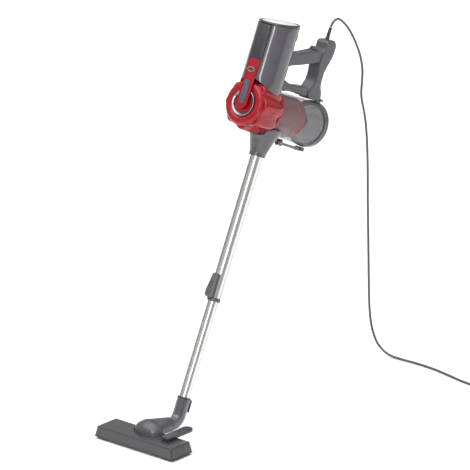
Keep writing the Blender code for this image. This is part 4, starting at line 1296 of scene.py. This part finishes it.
@dataclass
class MotorHousing:
    """Motor housing, cap, front panel and vents."""

    radius: float = 55.0
    wall: float = 2.6
    axis_r: float = -69.0
    top: float = 350.0
    slant: float = math.radians(10.5)
    drum_w: float = 122.0
    clear: float = 69.0
    panel_front: float = -127.0
    panel_low: float = 239.1

    def top_at(self, r: float, drop: float) -> float:
        """Return the height of the slanted top, less drop, at a place along R."""
        return self.top - drop / math.cos(self.slant) + (r - self.axis_r) * math.tan(self.slant)

    def build(self) -> None:
        """Build the housing's own pieces."""
        self.shell()
        self.cap()
        self.panel()
        self.side_line()
        self.vents()

    def shell(self) -> None:
        """Build the round shell between the drum's saddle and the slanted top."""
        bm = bmesh.new()
        around, rows = 144, 12
        grid: list[list[bmesh.types.BMVert]] = []
        for i in range(around):
            a = math.tau * i / around
            x, r = self.radius * math.cos(a), self.axis_r + self.radius * math.sin(a)
            low = self.drum_w + math.sqrt(self.clear ** 2 - x * x)
            high = self.top_at(r, 7.0)
            grid.append([bm.verts.new((x, r, low + (high - low) * k / rows))
                         for k in range(rows + 1)])
        for i in range(around):
            near, far = grid[i], grid[(i + 1) % around]
            for k in range(rows):
                bm.faces.new((near[k], far[k], far[k + 1], near[k + 1]))
        mesh = closed(bm, "housing_shell")
        mesh = evaluated(mesh, ("SOLIDIFY", {"thickness": self.wall, "offset": -1.0}),
                         ("BEVEL", {"width": 0.8, "segments": 3, "limit_method": "ANGLE",
                                    "angle_limit": math.radians(50)}))
        put("housing_shell", mesh, GREY_GLOSS, "hand_unit", UNIT, ["motor_housing"])

    def cap(self) -> None:
        """Build the rim and the pale cap with its fine ring groove."""
        place = (UNIT @ Matrix.Translation((0.0, self.axis_r, self.top))
                 @ Matrix.Rotation(self.slant, 4, "X"))
        rim = [(47.6, -1.6), (48.6, -0.4), (50.0, 0.1), (52.2, 0.0), (54.0, -1.2), (54.9, -3.2),
               (54.9, -6.7), (47.6, -6.7)]
        put("cap_rim_ring", lathe("cap_rim_ring", rounded(rim, 0.8, 3), steps=128), BLACK_GLOSS,
            "hand_unit", place, ["cap_rim"])
        cap = [(0, 5.4), (20, 4.6), (34.4, 2.5), (35.0, 1.9), (35.6, 1.9), (36.2, 2.2),
               (42, 0.5), (46.2, -1.2), (47.2, -2.6), (47.2, -6.5), (0, -6.5)]
        put("silver_cap", lathe("silver_cap", rounded(cap, 0.5, 2), steps=128), SILVER,
            "hand_unit", place, ["top_cap"])

    def panel(self) -> None:
        """Build the dark front panel that follows the housing."""
        half, front = 20.5, self.panel_front
        back = self.axis_r - math.sqrt((self.radius + 0.1) ** 2 - half ** 2)
        middle = self.axis_r - self.radius - 0.1
        nose = rounded([(-half, back), (-half, front), (half, front), (half, back)], 3.2, 4)
        inner = [(half * 0.5, (middle + back) / 2 - 1.0), (0.0, middle),
                 (-half * 0.5, (middle + back) / 2 - 1.0)]
        section = nose + inner
        bm = bmesh.new()
        low = [bm.verts.new((x, r, self.panel_low)) for x, r in section]
        high = [bm.verts.new((x, r, self.top_at(r, 7.2))) for x, r in section]
        count = len(section)
        for i in range(count):
            j = (i + 1) % count
            bm.faces.new((low[i], low[j], high[j], high[i]))
        bm.faces.new(low)
        bm.faces.new(high)
        mesh = evaluated(closed(bm, "front_panel"), ("BEVEL", {
            "width": 0.8, "segments": 2, "limit_method": "ANGLE",
            "angle_limit": math.radians(60)}))
        put("front_panel_shell", mesh, BLACK_GLOSS, "hand_unit", UNIT, ["front_panel"])
        for side in (-1, 1):
            line = [Vector((side * 15.5, front - 0.1, self.panel_low + 6 + i * 8.2))
                    for i in range(11)]
            put(f"panel_bead_{'left' if side < 0 else 'right'}",
                tube("bead", line, 0.7, False, 8), GREY_GLOSS, "hand_unit", UNIT)

    def side_line(self) -> None:
        """Build the arched ridge moulded on each side of the housing."""
        middle, half, spring, rise = 0.10, 0.45, 270.0, 26.0
        leg = [14.0 * i for i in range(5)]
        reach = self.radius + 0.05
        up = [(middle + half, spring - 56.0 + along) for along in leg]
        bend = [(middle + half * math.cos(t), spring + rise * math.sin(t))
                for t in (math.pi * i / 16 for i in range(1, 16))]
        down = [(middle - half, spring - along) for along in leg]
        for side, name in ((-1, "left"), (1, "right")):
            line = [Vector((side * reach * math.cos(turn),
                            self.axis_r + reach * math.sin(turn), w))
                    for turn, w in up + bend + down]
            put(f"housing_ridge_{name}", tube("ridge", line, 0.55, False, 8), GREY_GLOSS,
                "hand_unit", UNIT)

    def vents(self) -> None:
        """Build the exhaust grille round the back of the housing."""
        bars = ring_rule().grow("vent_bars", BLACK_GLOSS, {
            "Count": 90, "Rings": 1, "Radius": self.radius + 0.1, "Width": 1.5, "Depth": 0.9,
            "Length": 16.0})
        bm = bmesh.new()
        bm.from_mesh(bars)
        bpy.data.meshes.remove(bars)
        front = [face for face in bm.faces if face.calc_center_median().y < 26.0]
        bmesh.ops.delete(bm, geom=front, context="FACES")
        mesh = closed(bm, "vent_bars")
        mesh.transform(Matrix.Translation((0.0, self.axis_r, 322.0)))
        put("vent_bars", mesh, BLACK_GLOSS, "hand_unit", UNIT)


@dataclass
class Drum:
    """Lobed red drum with its bezel, ring, tongue, inlay and badge."""

    radius: float = 65.0
    lobe: float = 4.0
    lobes: int = 8
    front: float = -109.0
    back: float = -30.0
    w: float = 122.0
    panel_front: float = -127.0
    tongue_top: float = 238.8
    tongue_low: float = 105.0

    def build(self) -> None:
        """Build the drum's own pieces."""
        self.shell()
        self.face()
        self.tongue()

    def shell(self) -> None:
        """Build the shell, turned and then pushed into lobes."""
        f, b, r = self.front, self.back, self.radius
        profile = rounded([(0.0, f + 4), (54.0, f + 4), (54.0, b + 1.0), (58.0, b),
                           (r - 4.5, b), (r - 1.8, b - 7.0), (r + 0.4, b - 30.0),
                           (r + 0.4, f + 26.0), (r - 0.4, f + 3.0), (61.5, f), (0.0, f)],
                          4.0, 5)
        base = lathe("drum_lobed", profile, steps=240)
        mesh = lobe_rule().grow("drum_lobed", RED_GLOSS, {
            "Lobes": float(self.lobes), "Height": self.lobe,
            "Phase": math.radians(-5.0), "Inner Radius": 56.0,
            "Outer Radius": self.radius - 2.5}, base)
        turn = Matrix.Translation((0.0, 0.0, self.w)) @ Matrix.Rotation(-math.pi / 2, 4, "X")
        mesh.transform(turn)
        put("drum_lobed", mesh, RED_GLOSS, "hand_unit", UNIT, ["drum_cover"], 45)

    def face(self) -> None:
        """Build the raised bezel, its beads and the polished dished ring."""
        f = self.front - 0.3
        bezel = rounded([(0, -117.5), (37, -117.5), (38.5, -119.6), (44, -121.0), (51, -121.2),
                         (56.5, -118.8), (58.2, -115.6), (60.5, -113), (60.5, f), (0, f)],
                        2.5, 5)
        put("drum_bezel_raised", lathe("bezel", bezel, Axis.R, (0, 0, self.w), 144), RED_GLOSS,
            "hand_unit", UNIT, ["drum_bezel"])
        polished = rounded([(28, -119.2), (29.6, -121.2), (33.0, -123.4), (35.4, -123.6),
                            (36.6, -122.4), (36.7, -117.8), (28, -117.8), (28, -119.2)], 0.9, 4)
        # the ring's chrome is darkened grey: a painted reflection
        put("polished_ring", lathe("ring", polished[:-1], Axis.R, (0, 0, self.w), 144), RING_CHROME_PAINTED_GREY,
            "hand_unit", UNIT, ["drum_ring"])

    def tongue(self) -> None:
        """Build the red tongue with a raised rim, the window inlay and the plain badge."""
        half, low, high = 17.5, self.tongue_low, self.tongue_top
        foot = circle((0.0, low + half), half - 0.4, 180, 360, 24)
        outline = [(-18.6, high), *foot, (18.6, high)]
        plate = slab("tongue", outline, 1.6, Plane.XW, (0, self.panel_front + 1.7, 0),
                     rounding=0.9)
        neck = block("tongue_neck", (-16.5, self.panel_front + 2.8, 192.0),
                     (16.5, -119.0, high), 0.8)
        put("front_tongue_plate", join_meshes("tongue", plate, neck), RED_GLOSS, "hand_unit",
            UNIT, ["front_tongue"])
        inset = 2.2
        rim = [(-half + inset, high - 2.5), *circle((0.0, low + half), half - inset, 180, 360, 24),
               (half - inset, high - 2.5)]
        line = [Vector((x, self.panel_front - 0.1, w)) for x, w in rim]
        put("tongue_rim", tube("rim", line, 0.8, False, 10), RED_GLOSS, "hand_unit", UNIT)
        wide, first, last = 9.0, 127.6, 173.8
        stadium = (circle((0.0, first), wide, 180, 360, 16)
                   + circle((0.0, last), wide, 0, 180, 16))
        put("window_inlay", slab("inlay", stadium, 0.6, Plane.XW,
                                 (0, self.panel_front - 0.9, 0), rounding=0.45), SLATE,
            "hand_unit", UNIT, ["slot_inlay"])
        badge_w, badge_half, badge_high = 210.0, 12.0, 6.5
        oval = [(badge_half * x, badge_w + badge_high * y)
                for x, y in circle((0, 0), 1.0, 0, 360, 40)[:-1]]
        put("plain_badge", slab("badge", oval, 0.5, Plane.XW, (0, self.panel_front - 0.8, 0),
                                rounding=0.4), BLACK_GLOSS, "hand_unit", UNIT, ["badge"])
        ring = [Vector((0.9 * x, self.panel_front - 1.4, badge_w + 0.86 * (w - badge_w)))
                for x, w in oval]
        put("badge_ring", tube("badge_ring", ring, 0.35, True, 8), SILVER, "hand_unit", UNIT)


@dataclass
class DustCup:
    """Clear cup, the cyclone and filter in it, and its door and latch."""

    w: float = 122.0
    front: float = -29.7
    back: float = 171.0
    front_radius: float = 58.0
    back_radius: float = 61.0
    wall: float = 2.5

    def build(self) -> None:
        """Build the cup's own pieces."""
        self.shell()
        self.cyclone()
        self.door()
        self.latch()

    def turned(self, name: str, profile: Profile, finish: Finish, body: str = "hand_unit",
               replaces: Sequence[str] = (), steps: int = 128) -> bpy.types.Object:
        """Build a piece that is turned about the cup's axis.

        Args:
            name: the piece's name.
            profile: (radius, R) points.
            finish: its finish.
            body: body that it rides on.
            replaces: CAD nodes that it stands for.
            steps: faces round it.

        Returns:
            The piece.
        """
        mesh = lathe(name, profile, Axis.R, (0.0, 0.0, self.w), steps)
        return put(name, mesh, finish, body, UNIT, replaces)

    def shell(self) -> None:
        """Build the clear wall, its red front collar and its thick grey rear rim."""
        f, b = self.front, self.back
        near, far, wall = self.front_radius, self.back_radius, self.wall
        self.turned("cup_wall", [(near - wall, f), (near, f), (far, b - 0.2),
                                 (far - wall, b - 0.2)], CLEAR, replaces=["dust_cup"])
        collar = rounded([(near - 0.2, f), (near + 2.2, f), (near + 2.2, f + 7.0),
                          (near + 0.3, f + 9.0)], 0.9, 3)
        self.turned("cup_collar", collar, RED_GLOSS)
        rim = rounded([(far - 0.1, b - 11.0), (far + 1.2, b - 10.0), (far + 1.5, b - 6.0),
                       (far + 1.5, b - 0.4), (far - 0.1, b - 0.4)], 0.9, 3)
        self.turned("cup_rear_rim", rim, GREY_GLOSS)

    def cyclone(self) -> None:
        """Build the perforated screen, the fins of the band and the filter's pleats."""
        rule = ring_rule()
        axis = Matrix.Translation((0.0, 0.0, self.w)) @ Axis.R.value
        holes = rule.grow("screen", RED_DARK, {
            "Count": 60, "Rings": 11, "Pitch": 7.0, "Radius": 51.9, "Width": 2.6,
            "Depth": 0.7, "Length": 4.2})
        holes.transform(axis @ Matrix.Translation((0.0, 0.0, -20.0)))
        put("cyclone_screen", holes, RED_DARK, "hand_unit", UNIT)
        fins = rule.grow("fins", RED_GLOSS, {
            "Count": 36, "Radius": 52.3, "Width": 1.2, "Depth": 1.8, "Length": 20.0})
        fins.transform(axis @ Matrix.Translation((0.0, 0.0, 74.0)))
        put("cyclone_fins", fins, RED_GLOSS, "hand_unit", UNIT)
        ribs = rule.grow("cone_ribs", GREY_MATTE, {
            "Count": 16, "Radius": 31.0, "Width": 1.4, "Depth": 10.0, "Length": 22.0})
        ribs.transform(axis @ Matrix.Translation((0.0, 0.0, 98.2)))
        put("cone_ribs", ribs, GREY_MATTE, "hand_unit", UNIT)
        pleats = rule.grow("pleats", FILTER, {
            "Count": 60, "Radius": 38.8, "Width": 2.0, "Depth": 3.6, "Length": 72.0})
        pleats.transform(axis @ Matrix.Translation((0.0, 0.0, 11.0)))
        put("filter_pleats", pleats, FILTER, "hand_unit", UNIT)

    def door(self) -> None:
        """Build the door's solid rim and the moulded rings on its smoked face."""
        face = self.back + 0.3
        rim = rounded([(54.0, face - 0.1), (61.9, face - 0.1), (62.6, face + 1.5),
                       (61.9, face + 4.6), (58.4, face + 6.8), (54.0, face + 7.4),
                       (54.0, face - 0.1)], 1.0, 3)
        self.turned("door_rim", rim[:-1], GREY_GLOSS, "door")
        for i, radius in enumerate((44.0, 30.0, 16.0)):
            high = face + 11.0 - 2.0 * radius / 40.0
            ring = circle((radius, high), 0.9, 0, 360, 10)[:-1]
            self.turned(f"door_ring_{i + 1}", ring, SMOKE, "door", steps=96)

    def latch(self) -> None:
        """Build the ribs under the latch's thumb end."""
        ribs = row_rule().grow("latch_ribs", BLACK_GLOSS, {
            "Count": 4, "Pitch": 4.0, "Radius": 0.7, "Length": 12.0})
        ribs.transform(Matrix.Translation((0.0, 150.0, 47.4)) @ Matrix.Rotation(
            math.pi / 2, 4, "Z") @ Matrix.Rotation(math.pi / 2, 4, "X"))
        put("latch_ribs", ribs, BLACK_GLOSS, "latch", UNIT)


@dataclass
class Handle:
    """Loop handle with its top block, rear band and two arms."""

    half: float = 19.0
    band_half: float = 15.0
    arm_half: float = 16.0
    voxel: float = 1.5

    def build(self) -> None:
        """Build the four mouldings and the screws on the left."""
        grip = [(126, 322), (129, 342), (140, 346.2), (158, 346.2), (160, 330), (158, 304),
                (148, 276), (145, 250), (147, 228), (157, 206), (158, 188), (140, 184.5),
                (116, 186), (108, 196), (117, 216), (125, 236), (125, 254), (121, 274),
                (121, 300)]
        band = [(158, 346.0), (169, 341), (172, 322), (168, 300), (157, 268), (154.5, 248),
                (158, 224), (168, 206), (169, 188), (159.0, 187), (157.6, 206), (147.6, 228),
                (145.6, 250), (148.6, 276), (158.6, 304), (160.6, 330)]
        upper = [(-22, 251), (28, 255), (62, 264), (90, 272), (108, 278), (122.6, 283),
                 (122.6, 306), (108, 312.5), (88, 307), (60, 297), (28, 288), (-22, 285)]
        lower = [(-20, 187.5), (40, 187.0), (80, 187.5), (109, 190), (110, 204), (103, 211),
                 (90, 211), (66, 207.5), (34, 205), (-22, 206)]
        for name, outline, half, passes, node in (
                ("grip_moulding", grip, self.half, 10, "handle_grip"),
                ("rear_band", band, self.band_half, 7, "handle_band"),
                ("upper_arm_moulding", upper, self.arm_half, 14, "upper_arm"),
                ("lower_arm_moulding", lower, self.arm_half, 8, "lower_arm")):
            rough = slab(name, outline, half, Plane.RW, curved=8)
            mesh = moulded(rough, self.voxel, passes)
            put(name, mesh, HANDLE_GREY, "hand_unit", UNIT, [node], 60)
        points = bpy.data.meshes.new("points")
        points.from_pydata([(w, r, 0.0) for r, w in ((140, 326), (138, 262), (128, 198))],
                           [], [])
        screws = screw_rule().grow("handle_screws", STEEL, {"Radius": 3.0}, points)
        outwards = Matrix.Rotation(-math.pi / 2, 4, "Y")       # takes their +Z to -X
        screws.transform(Matrix.Translation((0.6 - self.half, 0, 0)) @ outwards)
        put("handle_screws", screws, STEEL, "hand_unit", UNIT)


# ---- the imported frame's own parts ---------------------------------------------------------

# cyclone_body gets its red washed to mauve by a painted reflection of the cup wall
NODE_FINISH: dict[str, Finish] = {
    "bin_door": SMOKE, "cyclone_body": MAUVE, "cyclone_band": RED_GLOSS,
    "elbow": ELBOW_GLOSS, "neck_boot": HANDLE_GREY}


def dress_nodes() -> None:
    """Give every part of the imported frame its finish."""
    for name, node in sorted(frame["nodes"].items()):
        slot = node.data.materials[0].name.split(".")[0]
        finish = NODE_FINISH.get(name, SLOT_FINISH[slot])
        for i in range(len(node.data.materials)):
            node.data.materials[i] = finish.material()
        LOG.info("%s: %s", name, finish.name)


# ---- studio -------------------------------------------------------------------------------

@dataclass
class Studio:
    """Pale floor, soft lights and the long-lens camera."""

    azimuth: float = math.radians(41.0)
    elevation: float = math.radians(20.0)
    distance: float = 20.0
    aim: tuple[float, float, float] = (0.0, 0.0069, 0.482)
    view_width: float = 1.2208
    sensor: float = 36.0

    def build(self) -> None:
        """Build the floor, the lights and the camera."""
        self.camera()
        self.floor()
        self.sky()
        self.light("strip", (1.62, -3.65, 2.75), (0.40, 3.2), 64.0)
        self.sun()

    def camera(self) -> None:
        """Place the camera and make it the scene's."""
        data = bpy.data.cameras.new("camera")
        data.sensor_width = self.sensor
        data.lens = self.sensor * self.distance / self.view_width
        data.clip_end = 60.0
        camera = bpy.data.objects.new("camera", data)
        flat = math.cos(self.elevation)
        away = Vector((math.sin(self.azimuth) * flat, -math.cos(self.azimuth) * flat,
                       math.sin(self.elevation)))
        camera.location = Vector(self.aim) + away * self.distance
        camera.rotation_euler = away.to_track_quat("Z", "Y").to_euler()
        bpy.context.scene.collection.objects.link(camera)
        bpy.context.scene.camera = camera

    def light(self, name: str, at: tuple[float, float, float], size: tuple[float, float],
              power: float) -> None:
        """Place a rectangular soft light that faces the machine.

        Args:
            name: the light's name.
            at: its place.
            size: its width and height.
            power: its power in watts.
        """
        data = bpy.data.lights.new(name, "AREA")
        data.shape = "RECTANGLE"
        data.size, data.size_y = size
        data.energy = power
        lamp = bpy.data.objects.new(name, data)
        lamp.location = at
        away = Vector(at) - Vector((0.0, 0.1, 0.6))
        lamp.rotation_euler = away.to_track_quat("Z", "Y").to_euler()
        bpy.context.scene.collection.objects.link(lamp)

    def sun(self) -> None:
        """Add a broad even light from overhead."""
        data = bpy.data.lights.new("overhead", "SUN")
        data.energy = 2.3
        data.angle = math.radians(70.0)
        lamp = bpy.data.objects.new("overhead", data)
        lamp.rotation_euler = (math.radians(12.0), math.radians(-8.0), 0.0)
        bpy.context.scene.collection.objects.link(lamp)

    def floor(self) -> None:
        """Lay the pale floor."""
        bm = bmesh.new()
        bmesh.ops.create_grid(bm, x_segments=1, y_segments=1, size=12.0)
        mesh = bpy.data.meshes.new("floor")
        bm.to_mesh(mesh)
        bm.free()
        # Matt painted board: plain and almost white
        paint = MouldedPlastic("matt_white_paint", "silver", "#FAFAFA", 0.9, "#F6F6F6",
                               patch=900.0, grain_size=4.0, smear=0.02)
        mesh.materials.append(paint.material())
        floor = bpy.data.objects.new("floor", mesh)
        bpy.context.scene.collection.objects.link(floor)

    def sky(self) -> None:
        """Light the room evenly, brighter above than near the horizon."""
        world = bpy.data.worlds.new("studio")
        world.use_nodes = True
        tree = world.node_tree
        place = add_node(tree, "ShaderNodeTexCoord")
        split = add_node(tree, "ShaderNodeSeparateXYZ", None, {0: place.outputs["Generated"]})
        ramp = add_node(tree, "ShaderNodeMapRange", None, {
            "Value": split.outputs[2], "From Min": 0.0, "From Max": 0.8, "To Min": 0.22,
            "To Max": 0.95})
        tree.links.new(ramp.outputs[0], tree.nodes["Background"].inputs["Strength"])
        tree.nodes["Background"].inputs["Color"].default_value = (1.0, 1.0, 1.0, 1.0)
        bpy.context.scene.world = world
        bpy.context.scene.view_settings.view_transform = "Standard"


def main() -> None:
    """Build the studio, dress the imported parts and build every sub-assembly in order."""
    logging.basicConfig(level=logging.INFO, format="%(message)s")
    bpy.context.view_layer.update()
    Studio().build()
    dress_nodes()
    assemblies: list[Callable[[], None]] = [
        MainsCord().build, FloorHead().build, Wand().build, MotorHousing().build,
        Drum().build, DustCup().build, Handle().build]
    for build in assemblies:
        build()


if __name__ == "__main__":
    main()
